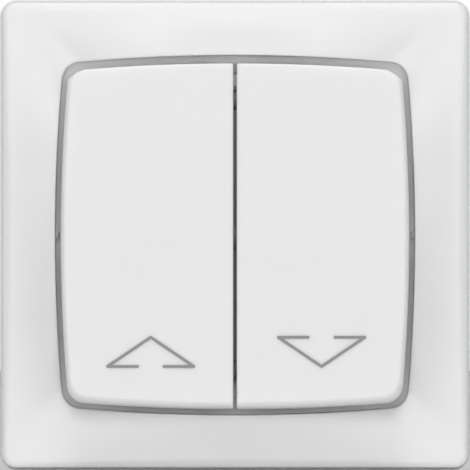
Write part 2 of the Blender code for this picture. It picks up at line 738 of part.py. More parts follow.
def make_carrier(name, side):
    """A ladder-like plate on a hub with two trunnions, and a stem bored for the plunger."""
    middle = side * POLE_OFFSET
    half_width = CARRIER_WIDTH / 2
    half_length = CARRIER_LENGTH / 2
    hub_half = HUB_LENGTH / 2
    hub_back = HINGE_Y + HUB_DEPTH / 2
    plate_back = -CARRIER_TOP + CARRIER_PLATE
    outline = [
        (-CARRIER_TOP, -half_length),
        (-CARRIER_TOP, half_length),
        (plate_back, half_length),
        (plate_back, hub_half + 2 * CARRIER_PLATE),
        (HINGE_Y, hub_half),
        (hub_back, hub_half),
        (hub_back, -hub_half),
        (HINGE_Y, -hub_half),
        (plate_back, -hub_half - 2 * CARRIER_PLATE),
        (plate_back, -half_length),
    ]
    carrier = prism(name, outline, "X", middle - half_width, middle + half_width, GREY_PLASTIC)
    stem_end = HINGE_Y + STEM_REACH
    stem_start = HINGE_Y
    join(
        carrier,
        [
            cylinder(
                "stem",
                (middle, (stem_start + stem_end) / 2, 0),
                STEM_RADIUS,
                stem_end - stem_start,
                "Y",
            ),
            cylinder(
                "trunnions",
                (middle, HINGE_Y, 0),
                TRUNNION_RADIUS,
                CARRIER_WIDTH + 2 * TRUNNION_LENGTH,
                "X",
            ),
        ],
    )
    window_start = hub_half + 2 * CARRIER_PLATE + SEAT_GAP
    windows = [
        box(
            "window",
            (middle - half_width + CARRIER_RAIL, middle + half_width - CARRIER_RAIL),
            (-CARRIER_TOP - MM, plate_back + MM),
            (end * window_start, end * (half_length - CARRIER_BAR)),
        )
        for end in (-1, 1)
    ]
    bore_start = HINGE_Y + PLUNGER_REACH - PLUNGER_LENGTH - PLUNGER_SPRING_LENGTH - 2 * SEAT_GAP
    bore = cylinder(
        "bore",
        (middle, (bore_start + stem_end + MM) / 2, 0),
        PLUNGER_RADIUS + RUNNING_GAP,
        stem_end + MM - bore_start,
        "Y",
    )
    return cut(carrier, [*windows, bore])


def make_plunger(name, side):
    """A turned pin with a ball-shaped tip, which presses on the contact bridge."""
    start = TIP_Y - PLUNGER_LENGTH
    tip_centre = TIP_Y - PLUNGER_RADIUS
    tip = [
        (PLUNGER_RADIUS * math.cos(a), tip_centre + PLUNGER_RADIUS * math.sin(a))
        for a in [math.radians(angle) for angle in (0, 22.5, 45, 67.5)]
    ]
    profile = [(0, start), (PLUNGER_RADIUS, start), *tip, (0, TIP_Y)]
    place = (side * POLE_OFFSET, 0)
    return turned(name, profile, place, NATURAL_NYLON, steps=SMALL_ROUND_STEPS)


def make_coil(name, centre, start, length, radius, wire, turns, material):
    """A compression spring along Y: a helix whose two end turns lie close."""
    steps = turns * COIL_STEPS
    points = []
    for i in range(steps + 1):
        share = i / steps
        angle = 2 * math.pi * turns * share
        eased = share - PLUNGER_SPRING_CLOSING * math.sin(2 * math.pi * share) / (2 * math.pi)
        points.append(
            (
                centre[0] + radius * math.cos(angle),
                start + wire + (length - 2 * wire) * eased,
                centre[1] + radius * math.sin(angle),
            )
        )
    curve = bpy.data.curves.new(name, "CURVE")
    curve.dimensions = "3D"
    curve.bevel_depth = wire
    curve.bevel_resolution = 2
    curve.use_fill_caps = True
    spline = curve.splines.new("POLY")
    spline.points.add(len(points) - 1)
    for point, place in zip(spline.points, points):
        point.co = (*place, 1)
    curve.materials.append(material)
    obj = bpy.data.objects.new(name, curve)
    collection.objects.link(obj)
    return obj


def make_bridge(name, side):
    """A flat brass strip with its sides turned up round the plunger, and a hole for the contact."""
    middle = side * POLE_OFFSET
    half = BRIDGE_LENGTH / 2
    width = BRIDGE_WIDTH / 2
    bridge = box(
        name,
        (middle - width, middle + width),
        (BRIDGE_Y, BRIDGE_Y + BRASS_SHEET),
        (-half, half),
        BRASS,
    )
    guides = [
        box(
            "guide",
            (middle + edge * (width - BRASS_SHEET), middle + edge * width),
            (BRIDGE_Y - 2 * BRASS_SHEET, BRIDGE_Y + BRASS_SHEET / 2),
            (-half / 3, half / 3),
        )
        for edge in (-1, 1)
    ]
    hole = cylinder(
        "hole",
        (middle, BRIDGE_Y + BRASS_SHEET / 2, CONTACT_OFFSET),
        CONTACT_SHANK_RADIUS + SEAT_GAP,
        4 * BRASS_SHEET,
        "Y",
        steps=12,
    )
    join(bridge, guides)
    return cut(bridge, [hole])


def make_moving_contact(name, side):
    """A silver rivet through the bridge, its contact face towards the back."""
    back = BRIDGE_Y + BRASS_SHEET + SEAT_GAP
    front = BRIDGE_Y - SEAT_GAP
    profile = [
        (0, front - CONTACT_HEAD / 2),
        (CONTACT_SHANK_RADIUS * 1.7, front - CONTACT_HEAD / 2),
        (CONTACT_SHANK_RADIUS * 1.7, front),
        (CONTACT_SHANK_RADIUS, front),
        (CONTACT_SHANK_RADIUS, back),
        (CONTACT_RADIUS, back),
        (CONTACT_RADIUS, back + CONTACT_HEAD * 0.6),
        (CONTACT_RADIUS * 0.7, back + CONTACT_HEAD),
        (0, back + CONTACT_HEAD),
    ]
    place = (side * POLE_OFFSET, CONTACT_OFFSET)
    return turned(name, profile, place, SILVER, steps=SMALL_ROUND_STEPS)


def make_fixed_contact(name, side):
    """A silver rivet in the fixed strip, its contact face towards the front."""
    head_back = FIXED_FACE_Y + CONTACT_HEAD
    shank_end = FIXED_STRIP_Y + BRASS_SHEET
    profile = [
        (0, FIXED_FACE_Y),
        (CONTACT_RADIUS * 0.7, FIXED_FACE_Y),
        (CONTACT_RADIUS, FIXED_FACE_Y + CONTACT_HEAD * 0.4),
        (CONTACT_RADIUS, head_back),
        (CONTACT_SHANK_RADIUS, head_back),
        (CONTACT_SHANK_RADIUS, shank_end),
        (0, shank_end),
    ]
    place = (side * POLE_OFFSET, CONTACT_OFFSET)
    return turned(name, profile, place, SILVER, steps=SMALL_ROUND_STEPS)


def terminal_leg(name, side, start_z, strip_y, end, material=None):
    """A strip that lies across the chamber and turns down into the terminal cell as its clamp bar."""
    middle = side * POLE_OFFSET
    centre = strip_y + BRASS_SHEET / 2
    path = [
        (centre, start_z),
        (centre, end * CLAMP_OFFSET),
        (CLAMP_BAR_END, end * CLAMP_OFFSET),
    ]
    width = BRIDGE_WIDTH / 2
    return bent_sheet(name, path, BRASS_SHEET, "X", middle - width, middle + width, material)


def make_switched_terminal(name, side):
    """The fixed contact's strip and clamp bar."""
    strip = terminal_leg(name, side, CONTACT_OFFSET - 1.6 * CONTACT_RADIUS, FIXED_STRIP_Y, 1, BRASS)
    hole = cylinder(
        "hole",
        (side * POLE_OFFSET, FIXED_STRIP_Y + BRASS_SHEET / 2, CONTACT_OFFSET),
        CONTACT_SHANK_RADIUS + SEAT_GAP,
        4 * BRASS_SHEET,
        "Y",
        steps=12,
    )
    return cut(strip, [hole])


def make_common_terminal(name):
    """Two legs with a fulcrum each, joined by a bar through the middle wall."""
    half = FULCRUM_WIDTH / 2
    terminal = box(
        name,
        (-POLE_OFFSET, POLE_OFFSET),
        (COMMON_Y, COMMON_Y + BRASS_SHEET),
        (-half, half),
        BRASS,
    )
    pieces = []
    for side in SIDES.values():
        middle = side * POLE_OFFSET
        pieces.append(terminal_leg("leg", side, half * 1.3, COMMON_Y, -1))
        ridge = [
            (COMMON_Y + BRASS_SHEET / 2, -half),
            (FULCRUM_Y + FULCRUM_HEIGHT / 4, -half / 4),
            (FULCRUM_Y, 0),
            (FULCRUM_Y + FULCRUM_HEIGHT / 4, half / 4),
            (COMMON_Y + BRASS_SHEET / 2, half),
        ]
        width = BRIDGE_WIDTH / 2 - BRASS_SHEET / 2
        pieces.append(prism("fulcrum", ridge, "X", middle - width, middle + width))
    return join(terminal, pieces)


def make_clamp_spring(name, side, end):
    """A leaf bent over at the back of its cell, its free end against the clamp bar."""
    middle = side * POLE_OFFSET
    sheet = CLAMP_SPRING_SHEET
    outer = CHAMBER_END - SEAT_GAP - sheet / 2
    back = FLOOR_Y - 2 * SEAT_GAP - BUTTON_FLANGE - sheet / 2
    bend = CLAMP_SPRING_BEND
    tip = CLAMP_OFFSET + BRASS_SHEET / 2 + SEAT_GAP + sheet
    path = [
        (FIXED_STRIP_Y - CLAMP_SPRING_HEEL, outer),
        *arc((back - bend, outer - bend), bend, math.pi / 2, -math.pi / 4, CLAMP_BEND_STEPS),
        (FIXED_STRIP_Y - CLAMP_SPRING_TIP, tip),
    ]
    path = [(depth, end * z) for depth, z in path]
    width = CLAMP_SPRING_WIDTH / 2
    return bent_sheet(name, path, sheet, "X", middle - width, middle + width, SPRING_STEEL)


def make_release_button(name, side, end):
    """A small pusher through the back of the base, held in by its flange."""
    middle = side * POLE_OFFSET
    start = FLOOR_Y - SEAT_GAP - BUTTON_FLANGE
    half_x, half_z = BUTTON_WIDTH / 2, BUTTON_DEPTH / 2
    centre = end * BUTTON_OFFSET
    button = box(
        name,
        (middle - half_x, middle + half_x),
        (start, BASE_DEPTH + BUTTON_PROUD),
        (centre - half_z, centre + half_z),
        ORANGE_PLASTIC,
    )
    flange = box(
        "flange",
        (middle - half_x - BUTTON_FLANGE, middle + half_x + BUTTON_FLANGE),
        (start, start + BUTTON_FLANGE),
        (centre - half_z, centre + half_z),
    )
    return join(button, [flange])


def rivet_holes():
    """Cutters for the two holes that the rivets pass through."""
    radius = RIVET_RADIUS + SEAT_GAP
    return [
        cylinder("hole", (0, 0, end * RIVET_OFFSET), radius, THROUGH, "Y", steps=SMALL_ROUND_STEPS)
        for end in (-1, 1)
    ]


def make_base():
    """A deep box with a flange, two contact chambers, four terminal cells and two claw ramps."""
    flange = prism(
        "insert_base",
        chamfered(FLANGE_WIDTH / 2, FLANGE_LENGTH / 2, FLANGE_CHAMFER),
        "Y",
        SEAT_GAP,
        SEAT_GAP + FLANGE_THICKNESS,
        GREY_PLASTIC,
    )
    half_x, half_z = BASE_WIDTH / 2, BASE_LENGTH / 2
    inset = BASE_BACK_CHAMFER
    layers = (
        (SEAT_GAP + FLANGE_THICKNESS / 2, 0),
        (BASE_DEPTH - inset, 0),
        (BASE_DEPTH, inset),
    )
    body = loft(
        "body",
        [
            [Vector((x, y, z)) for x, z in chamfered(half_x - shrink, half_z - shrink, BASE_CHAMFER)]
            for y, shrink in layers
        ],
        None,
    )
    join(flange, [body, *make_claw_ramps()])

    chambers = []
    for side in SIDES.values():
        inner = MIDDLE_WALL / 2
        outline = [
            (inner, -CHAMBER_END),
            (CHAMBER_OUTER - CHAMBER_CHAMFER, -CHAMBER_END),
            (CHAMBER_OUTER, -CHAMBER_END + CHAMBER_CHAMFER),
            (CHAMBER_OUTER, CHAMBER_END - CHAMBER_CHAMFER),
            (CHAMBER_OUTER - CHAMBER_CHAMFER, CHAMBER_END),
            (inner, CHAMBER_END),
        ]
        outline = [(side * x, z) for x, z in outline]
        chambers.append(prism("chamber", outline, "Y", 0, FLOOR_Y))
    notch = box(
        "notch",
        (-MIDDLE_WALL, MIDDLE_WALL),
        (0, COMMON_Y + BRASS_SHEET + SEAT_GAP),
        (-FULCRUM_WIDTH / 2 - SEAT_GAP, FULCRUM_WIDTH / 2 + SEAT_GAP),
    )
    cut(flange, [*chambers, notch])
    join(flange, make_chamber_ribs())
    holes = rivet_holes()
    for side in SIDES.values():
        for end in (-1, 1):
            middle = side * POLE_OFFSET
            holes.append(
                cylinder(
                    "wire_hole",
                    (middle, BASE_DEPTH, end * WIRE_HOLE_OFFSET),
                    WIRE_HOLE_RADIUS,
                    4 * BASE_FLOOR,
                    "Y",
                    steps=WIRE_HOLE_STEPS,
                )
            )
            holes.append(
                cylinder(
                    "funnel",
                    (middle, BASE_DEPTH, end * WIRE_HOLE_OFFSET),
                    WIRE_HOLE_RADIUS + 2 * FUNNEL_DEPTH,
                    2 * FUNNEL_DEPTH,
                    "Y",
                    steps=WIRE_HOLE_STEPS,
                    near_radius=WIRE_HOLE_RADIUS,
                )
            )
            half_width = BUTTON_WIDTH / 2 + SEAT_GAP
            half_depth = BUTTON_DEPTH / 2 + SEAT_GAP
            holes.append(
                box(
                    "button_window",
                    (middle - half_width, middle + half_width),
                    (FLOOR_Y - MM, BASE_DEPTH + MM),
                    (end * BUTTON_OFFSET - half_depth, end * BUTTON_OFFSET + half_depth),
                )
            )
    return cut(flange, holes)


def make_chamber_ribs():
    """Blocks under the terminal strips, and thin walls beside each clamp spring."""
    ribs = []
    back = FLOOR_Y + BASE_FLOOR / 2
    clamp_inner = CLAMP_OFFSET - BRASS_SHEET / 2 - SEAT_GAP
    half_width = BRIDGE_WIDTH / 2 + SEAT_GAP
    for side in SIDES.values():
        middle = side * POLE_OFFSET
        for end, strip_y, inner in (
            (1, FIXED_STRIP_Y, CONTACT_OFFSET - CONTACT_RADIUS),
            (-1, COMMON_Y, FULCRUM_WIDTH / 2),
        ):
            ribs.append(
                box(
                    "seat",
                    (middle - half_width, middle + half_width),
                    (strip_y + BRASS_SHEET + SEAT_GAP, back),
                    (end * inner, end * clamp_inner),
                )
            )
            for edge in (-1, 1):
                near = middle + edge * half_width
                far = near + edge * CELL_WALL
                ribs.append(
                    box(
                        "cell_wall",
                        (near, far),
                        (strip_y + BRASS_SHEET, back),
                        (end * (clamp_inner - MM), end * (CHAMBER_END + BASE_WALL / 2)),
                    )
                )
    return ribs


def claw_ramp_line():
    """The ramp's face, as a value of x * nx + y * ny, just clear of the claw's foot."""
    normal = Vector((-CLAW_DIRECTION.y, CLAW_DIRECTION.x))
    corner = Vector((CLAW_FOOT_START, CLAW_FOOT_DEPTH - CLAW_SHEET / 2))
    return normal, normal.dot(corner) - SEAT_GAP


def make_claw_ramps():
    """Wedges on the base's left and right side that push the claws outwards."""
    normal, reach = claw_ramp_line()

    def depth_at(x):
        return (reach - normal.x * x) / normal.y

    root = BASE_WIDTH / 2 - BASE_WALL / 2
    outline = [
        (root, depth_at(root)),
        (RAMP_OFFSET, depth_at(RAMP_OFFSET)),
        (RAMP_OFFSET, RAMP_START),
        (root, RAMP_START - (RAMP_OFFSET - root)),
    ]
    ramps = []
    for side in SIDES.values():
        turned_outline = [(side * x, y) for x, y in outline]
        for end in (-1, 1):
            ramps.append(prism("ramp", turned_outline, "Z", end * RAMP_INNER, end * RAMP_OUTER))
    return ramps


def make_cover():
    """The front plate of the insert, with windows for the carriers and bored ears at each side."""
    cover = prism(
        "insert_cover",
        chamfered(FLANGE_WIDTH / 2, FLANGE_LENGTH / 2, FLANGE_CHAMFER),
        "Y",
        -COVER_FRONT,
        -COVER_BACK,
        GREY_PLASTIC,
    )
    window_half = CARRIER_WIDTH / 2 + SEAT_GAP
    rim_x, rim_z = EAR_OUTER, CHAMBER_END
    rim = prism(
        "rim", chamfered(rim_x, rim_z, BASE_CHAMFER), "Y", -COVER_BACK - COVER_THICKNESS / 2, 0
    )
    hollow = prism(
        "hollow",
        chamfered(rim_x - COVER_RIM_WALL, rim_z - COVER_RIM_WALL, BASE_CHAMFER - COVER_RIM_WALL / 2),
        "Y",
        -COVER_BACK,
        MM,
    )
    join(cover, [rim])
    windows = [
        box(
            "window",
            (side * POLE_OFFSET - window_half, side * POLE_OFFSET + window_half),
            (-COVER_FRONT - MM, MM),
            (-HUB_LENGTH / 2 - 2 * RUNNING_GAP - MM, HUB_LENGTH / 2 + 2 * RUNNING_GAP + MM),
        )
        for side in SIDES.values()
    ]
    cut(cover, [hollow, *windows])
    ear = [
        (0, EAR_RADIUS),
        *arc((HINGE_Y, 0), EAR_RADIUS, math.pi / 2, 1.5 * math.pi, EAR_STEPS),
        (0, -EAR_RADIUS),
    ]
    ears = [prism("ear", ear, "X", -MIDDLE_EAR_HALF, MIDDLE_EAR_HALF)]
    for side in SIDES.values():
        ears.append(prism("ear", ear, "X", side * (EAR_OUTER - EAR_WIDTH), side * EAR_OUTER))
    join(cover, ears)
    bearing = cylinder(
        "bearing",
        (0, HINGE_Y, 0),
        TRUNNION_RADIUS + RUNNING_GAP,
        2 * (POLE_OFFSET + CARRIER_WIDTH / 2 + TRUNNION_LENGTH + SEAT_GAP),
        "X",
    )
    return cut(cover, [bearing, *rivet_holes()])


def make_ring():
    """A punched steel plate with a central opening, slots for the box screws and four lugs."""
    ring = prism(
        "mounting_ring",
        rounded_square(RING_SIZE / 2, RING_CORNER_RADIUS),
        "Y",
        -RING_THICKNESS,
        0,
        STEEL,
    )
    lugs = []
    holes = rivet_holes()
    opening_x = EAR_OUTER + SEAT_GAP
    opening_z = CHAMBER_END + SEAT_GAP
    holes.append(
        prism(
            "opening",
            chamfered(opening_x, opening_z, BASE_CHAMFER),
            "Y",
            -RING_THICKNESS - MM,
            MM,
        )
    )
    claw_hole_radius = CLAW_SCREW_RADIUS + 1.5 * SEAT_GAP
    for side in SIDES.values():
        centre = (side * CLAW_SCREW_OFFSET, 0, 0)
        holes.append(
            cylinder("claw_hole", centre, claw_hole_radius, THROUGH, "Y", steps=SMALL_ROUND_STEPS)
        )
        radius = BOX_SLOT_WIDTH / 2
        run = BOX_SLOT_LENGTH / 2 - radius
        spacing = side * BOX_SLOT_OFFSET
        upright = [
            *arc((spacing, run), radius, 0, math.pi, SLOT_END_STEPS),
            *arc((spacing, -run), radius, math.pi, 2 * math.pi, SLOT_END_STEPS),
        ]
        holes.append(prism("slot", upright, "Y", -RING_THICKNESS - MM, MM))
        lying = [(z, x) for x, z in upright]
        holes.append(prism("slot", lying, "Y", -RING_THICKNESS - MM, MM))
        for end in (-1, 1):
            place = (side * WALL_HOLE_OFFSET, 0, end * WALL_HOLE_OFFSET)
            holes.append(
                cylinder(
                    "wall_hole", place, WALL_HOLE_RADIUS, THROUGH, "Y", steps=SMALL_ROUND_STEPS
                )
            )
            edge = RING_SIZE / 2
            middle = end * LUG_OFFSET
            lugs.append(
                box(
                    "lug",
                    (side * (edge - RING_THICKNESS), side * edge),
                    (-LUG_HEIGHT, -RING_THICKNESS / 2),
                    (middle - LUG_WIDTH / 2, middle + LUG_WIDTH / 2),
                )
            )
            nub_middle = (RING_THICKNESS + LUG_HEIGHT) / 2
            reach = LATCH_NUB / 2 + SEAT_GAP
            holes.append(
                box(
                    "lug_window",
                    (side * (edge - 2 * RING_THICKNESS), side * (edge + RING_THICKNESS)),
                    (-nub_middle - reach, -nub_middle + reach),
                    (middle - LUG_WINDOW_WIDTH / 2, middle + LUG_WINDOW_WIDTH / 2),
                )
            )
    join(ring, lugs)
    return cut(ring, holes)


def make_rivet(name, end):
    """A rivet through cover, ring and base flange."""
    front = -COVER_FRONT - SEAT_GAP
    back = 2 * SEAT_GAP + FLANGE_THICKNESS
    profile = [
        (0, front - RIVET_HEAD),
        (RIVET_HEAD_RADIUS * 0.8, front - RIVET_HEAD),
        (RIVET_HEAD_RADIUS, front - RIVET_HEAD / 2),
        (RIVET_HEAD_RADIUS, front),
        (RIVET_RADIUS, front),
        (RIVET_RADIUS, back),
        (RIVET_HEAD_RADIUS, back),
        (RIVET_HEAD_RADIUS, back + RIVET_HEAD / 2),
        (RIVET_HEAD_RADIUS * 0.8, back + RIVET_HEAD),
        (0, back + RIVET_HEAD),
    ]
    return turned(name, profile, (0, end * RIVET_OFFSET), STEEL, steps=SMALL_ROUND_STEPS)


def make_claw_screw(name, side):
    """A pan head screw with a slot, its shank plain."""
    front = -RING_THICKNESS - SEAT_GAP
    end = front + CLAW_SCREW_LENGTH
    head = CLAW_SCREW_HEAD
    radius = CLAW_SCREW_HEAD_RADIUS
    profile = [
        (0, front - head),
        (radius * 0.6, front - head),
        (radius * 0.9, front - head * 0.7),
        (radius, front - head * 0.35),
        (radius, front),
        (CLAW_SCREW_RADIUS, front),
        (CLAW_SCREW_RADIUS, end - CLAW_SCREW_RADIUS / 2),
        (CLAW_SCREW_RADIUS / 2, end),
        (0, end),
    ]
    place = (side * CLAW_SCREW_OFFSET, 0)
    screw = turned(name, profile, place, STEEL, steps=SMALL_ROUND_STEPS)
    slot = box(
        "slot",
        (side * CLAW_SCREW_OFFSET - 2 * radius, side * CLAW_SCREW_OFFSET + 2 * radius),
        (front - head - MM, front - head / 2),
        (-CLAW_SCREW_SLOT / 2, CLAW_SCREW_SLOT / 2),
    )
    return cut(screw, [slot])


def make_claw(name, side):
    """A fork-footed sheet bent forwards, with teeth that bite into the wall box."""
    path = [
        (CLAW_FOOT_START, CLAW_FOOT_DEPTH),
        (CLAW_ARM_OFFSET - CLAW_BEND, CLAW_FOOT_DEPTH),
        (CLAW_ARM_OFFSET, CLAW_FOOT_DEPTH - CLAW_BEND),
        (CLAW_ARM_OFFSET, CLAW_ARM_END + CLAW_HOOK_LENGTH),
        (CLAW_ARM_OFFSET + CLAW_HOOK, CLAW_ARM_END),
    ]
    path = [(side * x, y) for x, y in path]
    half = CLAW_WIDTH / 2
    claw = bent_sheet(name, path, CLAW_SHEET, "Z", -half, half, STEEL)
    slot_half = CLAW_SCREW_RADIUS + SEAT_GAP
    slot = box(
        "slot",
        (side * (CLAW_FOOT_START - MM), side * (CLAW_SCREW_OFFSET + slot_half)),
        (CLAW_FOOT_DEPTH - CLAW_SHEET, CLAW_FOOT_DEPTH + CLAW_SHEET),
        (-slot_half, slot_half),
    )
    pitch = CLAW_WIDTH / CLAW_TEETH
    spread = pitch / 2 * (TOOTH_DEPTH + MM) / TOOTH_DEPTH
    reach = CLAW_HOOK + CLAW_SHEET
    gashes = []
    for tooth in range(1, CLAW_TEETH):
        middle = -half + pitch * tooth
        outline = [
            (CLAW_ARM_END - MM, middle - spread),
            (CLAW_ARM_END - MM, middle + spread),
            (CLAW_ARM_END + TOOTH_DEPTH, middle),
        ]
        start, end = side * (CLAW_ARM_OFFSET - reach), side * (CLAW_ARM_OFFSET + reach)
        gashes.append(prism("gash", outline, "X", start, end))
    cut(claw, [slot])
    return cut(claw, gashes)


def make_claw_nut(name, side):
    """A square nut behind the claw's foot."""
    middle = side * CLAW_SCREW_OFFSET
    half = NUT_SIZE / 2
    start = CLAW_FOOT_DEPTH + CLAW_SHEET / 2 + SEAT_GAP
    nut = box(
        name,
        (middle - half, middle + half),
        (start, start + NUT_THICKNESS),
        (-half, half),
        STEEL,
    )
    bore_radius = CLAW_SCREW_RADIUS + SEAT_GAP
    place = (middle, start, 0)
    hole = cylinder("hole", place, bore_radius, THROUGH, "Y", steps=SMALL_ROUND_STEPS)
    return cut(nut, [hole])


def pivot(name, place, tilt):
    """An empty on a joint's axis, turned about X."""
    empty = bpy.data.objects.new(name, None)
    empty.location = place
    empty.rotation_euler = (tilt, 0, 0)
    empty.empty_display_size = PIVOT_MARK
    collection.objects.link(empty)
    return empty


def hang(empty, pieces):
    """Parents pieces to a pivot. They were modelled with the pivot level, and turn with it."""
    level = Matrix.Translation(empty.location)
    for piece in pieces:
        piece.parent = empty
        piece.matrix_parent_inverse = level.inverted()


def build():
    make_cover_frame()
    make_ring()
    make_cover()
    make_base()
    make_common_terminal("common_terminal")
    make_rivet("upper_rivet", 1)
    make_rivet("lower_rivet", -1)
    strip_names = {"left": "up_terminal", "right": "down_terminal"}
    cell_names = {
        ("left", 1): "up",
        ("right", 1): "down",
        ("left", -1): "supply",
        ("right", -1): "loop",
    }
    for word, side in SIDES.items():
        x = side * POLE_OFFSET
        spring_start = TIP_Y - PLUNGER_LENGTH - SEAT_GAP - PLUNGER_SPRING_LENGTH
        spring_radius = PLUNGER_RADIUS - PLUNGER_SPRING_WIRE
        rocking = [
            make_rocker(f"{word}_rocker", side),
            make_carrier(f"{word}_carrier", side),
            make_plunger(f"{word}_plunger", side),
            make_coil(
                f"{word}_plunger_spring",
                (x, 0),
                spring_start,
                PLUNGER_SPRING_LENGTH,
                spring_radius,
                PLUNGER_SPRING_WIRE,
                PLUNGER_SPRING_TURNS,
                SPRING_STEEL,
            ),
        ]
        hang(pivot(f"{word}_rocker_pivot", (x, HINGE_Y, 0), -REST_TILT), rocking)
        swinging = [
            make_bridge(f"{word}_contact_bridge", side),
            make_moving_contact(f"{word}_moving_contact", side),
        ]
        hang(pivot(f"{word}_bridge_pivot", (x, FULCRUM_Y, 0), BRIDGE_SWING), swinging)
        make_fixed_contact(f"{word}_fixed_contact", side)
        make_switched_terminal(strip_names[word], side)
        for end in (-1, 1):
            cell = cell_names[word, end]
            make_clamp_spring(f"{cell}_clamp_spring", side, end)
            make_release_button(f"{cell}_release_button", side, end)
        make_claw_screw(f"{word}_claw_screw", side)
        make_claw(f"{word}_claw", side)
        make_claw_nut(f"{word}_claw_nut", side)


clear_scene()
collection = bpy.data.collections.new("roller_shutter_switch")
bpy.context.scene.collection.children.link(collection)
WHITE = make_material("white_plastic", (0.84, 0.84, 0.82), 0.3)
GREY_PLASTIC = make_material("grey_plastic", (0.55, 0.56, 0.56), 0.5)
NATURAL_NYLON = make_material("natural_nylon", (0.82, 0.80, 0.72), 0.45)
ORANGE_PLASTIC = make_material("orange_plastic", (0.85, 0.32, 0.05), 0.4)
STEEL = make_material("zinc_plated_steel", (0.62, 0.63, 0.65), 0.35, 1.0)
SPRING_STEEL = make_material("spring_steel", (0.68, 0.68, 0.70), 0.25, 1.0)
BRASS = make_material("brass", (0.80, 0.62, 0.28), 0.3, 1.0)
SILVER = make_material("silver", (0.88, 0.87, 0.84), 0.25, 1.0)
build()
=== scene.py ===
"""The looks of a flush-mounted roller shutter switch: its white cover frame, two rockers with
arrow prints, and the grey insert with its zinc-plated ring and claws behind them. Sizes are in
metres. The room is at -Y and the wall at Y = 0."""

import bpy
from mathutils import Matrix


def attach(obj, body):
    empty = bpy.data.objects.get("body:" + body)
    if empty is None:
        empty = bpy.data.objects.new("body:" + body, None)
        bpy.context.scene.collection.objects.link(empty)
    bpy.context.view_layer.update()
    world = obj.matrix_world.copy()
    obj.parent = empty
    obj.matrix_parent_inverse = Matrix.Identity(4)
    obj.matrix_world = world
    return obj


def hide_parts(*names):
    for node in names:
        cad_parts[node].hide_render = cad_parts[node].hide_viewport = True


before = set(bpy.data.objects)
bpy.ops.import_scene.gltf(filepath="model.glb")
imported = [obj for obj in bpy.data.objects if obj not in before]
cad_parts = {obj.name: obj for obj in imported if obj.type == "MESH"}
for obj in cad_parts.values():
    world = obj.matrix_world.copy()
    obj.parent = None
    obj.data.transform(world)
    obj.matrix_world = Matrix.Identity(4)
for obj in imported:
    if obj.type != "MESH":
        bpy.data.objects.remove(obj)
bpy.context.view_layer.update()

import math

import bmesh
import bpy
import numpy as np

MM = 0.001
LEFT_AND_RIGHT = (("left", -1), ("right", 1))  # words, with their signs along X
LOWER_AND_UPPER = (("lower", -1), ("upper", 1))  # words, with their signs along Z
SEAT_GAP = 0.3 * MM  # between pieces that rest on one another

# Cover frame
FRAME_SIZE = 81.0 * MM
FRAME_CORNER_RADIUS = 2.75 * MM
FRAME_WALL = 1.8 * MM
FRAME_BACK = 0.3 * MM  # from the wall to the back rim
BACK_CHAMFER = 0.15 * MM
SIDE_HEIGHT = 3.7 * MM
EDGE_RADIUS = 1.0 * MM  # the solid's round, which sets where the sloping band starts
WALL_DRAFT = 0.48 * MM  # the outer wall leans in by this much
CRISP_EDGE = 0.3 * MM  # the round between the wall and the band
BAND_SLOPE = math.radians(30)
BAND_RISE = 0.35 * MM
FACE_RIM_RISE = 0.45 * MM  # how far the rim's middle stands above its corners
FACE_LIP_RISE = 3.0 * MM  # the same for the lip
FACE_CURVE = 1.5  # the power by which the face swells from the rim to the lip
CROWN_CURVE = 1.3  # the power of the crown along a side
CREASE = 0.3 * MM  # the soft crease between the sloping band and the face
HOLLOW_SHARES = (0.0, 0.2, 0.4, 0.6, 0.8, 0.92)  # rings across the hollow behind the face

# Opening, its lip, collar and ledge
OPENING_SIZE = 61.94 * MM
OPENING_BOW_RADIUS = 312.0 * MM
OPENING_CORNER_RADIUS = 3.26 * MM
LIP_RADIUS = 0.25 * MM
COLLAR_WALL = 1.3 * MM
COLLAR_DRAFT = 0.06 * MM
COLLAR_SHARES = (0.35, 0.7)  # rings on the way down the collar
LEDGE_BACK = 1.3 * MM
LEDGE_FRONT = 2.0 * MM
LEDGE_REACH = 3.0 * MM
NUB_LENGTH = 1.4 * MM
NUB_REACH = 0.65 * MM
NUB_HEIGHT = 2.0 * MM
NUB_ROOT = 0.3 * MM  # the nubs run this far into the collar and the ledge
NUB_ROUND = 0.2 * MM

# Latch arms behind the frame's face
LATCH_OFFSET = 14.0 * MM
LATCH_WIDTH = 5.0 * MM
LATCH_THICKNESS = 1.2 * MM
LATCH_INNER = 35.8 * MM
LATCH_END = 1.3 * MM
LATCH_ROOT = 5.0 * MM
LATCH_ROUND = 0.25 * MM
LATCH_NUB = 0.8 * MM
LATCH_NUB_HEIGHT = 2.35 * MM
LATCH_NUB_ROOT = 0.6 * MM

# Rockers
ROCKER_FOOT_HALF = 29.95 * MM
SKIRT_FLARE = 0.7 * MM
ROCKER_DROP = 0.35 * MM  # the caps sit this much below the middle of their carriers
SEAM = 0.6 * MM
ROCKER_BOW_RADIUS = 311.0 * MM
ROCKER_CORNER_RADIUS = 3.2 * MM
SEAM_CORNER_RADIUS = 0.35 * MM
UPPER_EDGE_START = 26.0 * MM  # from here up the soft edge changes over to the small one
UPPER_EDGE_END = 28.8 * MM
ROCKER_EDGE_RADIUS = 0.3 * MM
SOFT_EDGE_WIDTH = 0.95 * MM
SOFT_EDGE_DEPTH = 1.8 * MM
SOFT_RINGS_BEGIN = 1.1  # times the small edge's radius, so that no two rings lie too close
FACE_BORDER = 0.5 * MM  # from the flat face's edge to the ring inside it
FOOT_CHAMFER = 0.1 * MM
ROCKER_WALL = 1.6 * MM
ROCKER_FACE_HEIGHT = 11.2 * MM
SKIRT_DEPTH = 6.209 * MM
SEAM_WALL_END = 6.68 * MM
SEAM_WALL_MARGIN = 0.1 * MM
HINGE_HEIGHT = 3.0 * MM
REST_TILT = math.radians(5.0)
POLE_OFFSET = 9.6 * MM
PEG_WIDTH = 5.0 * MM
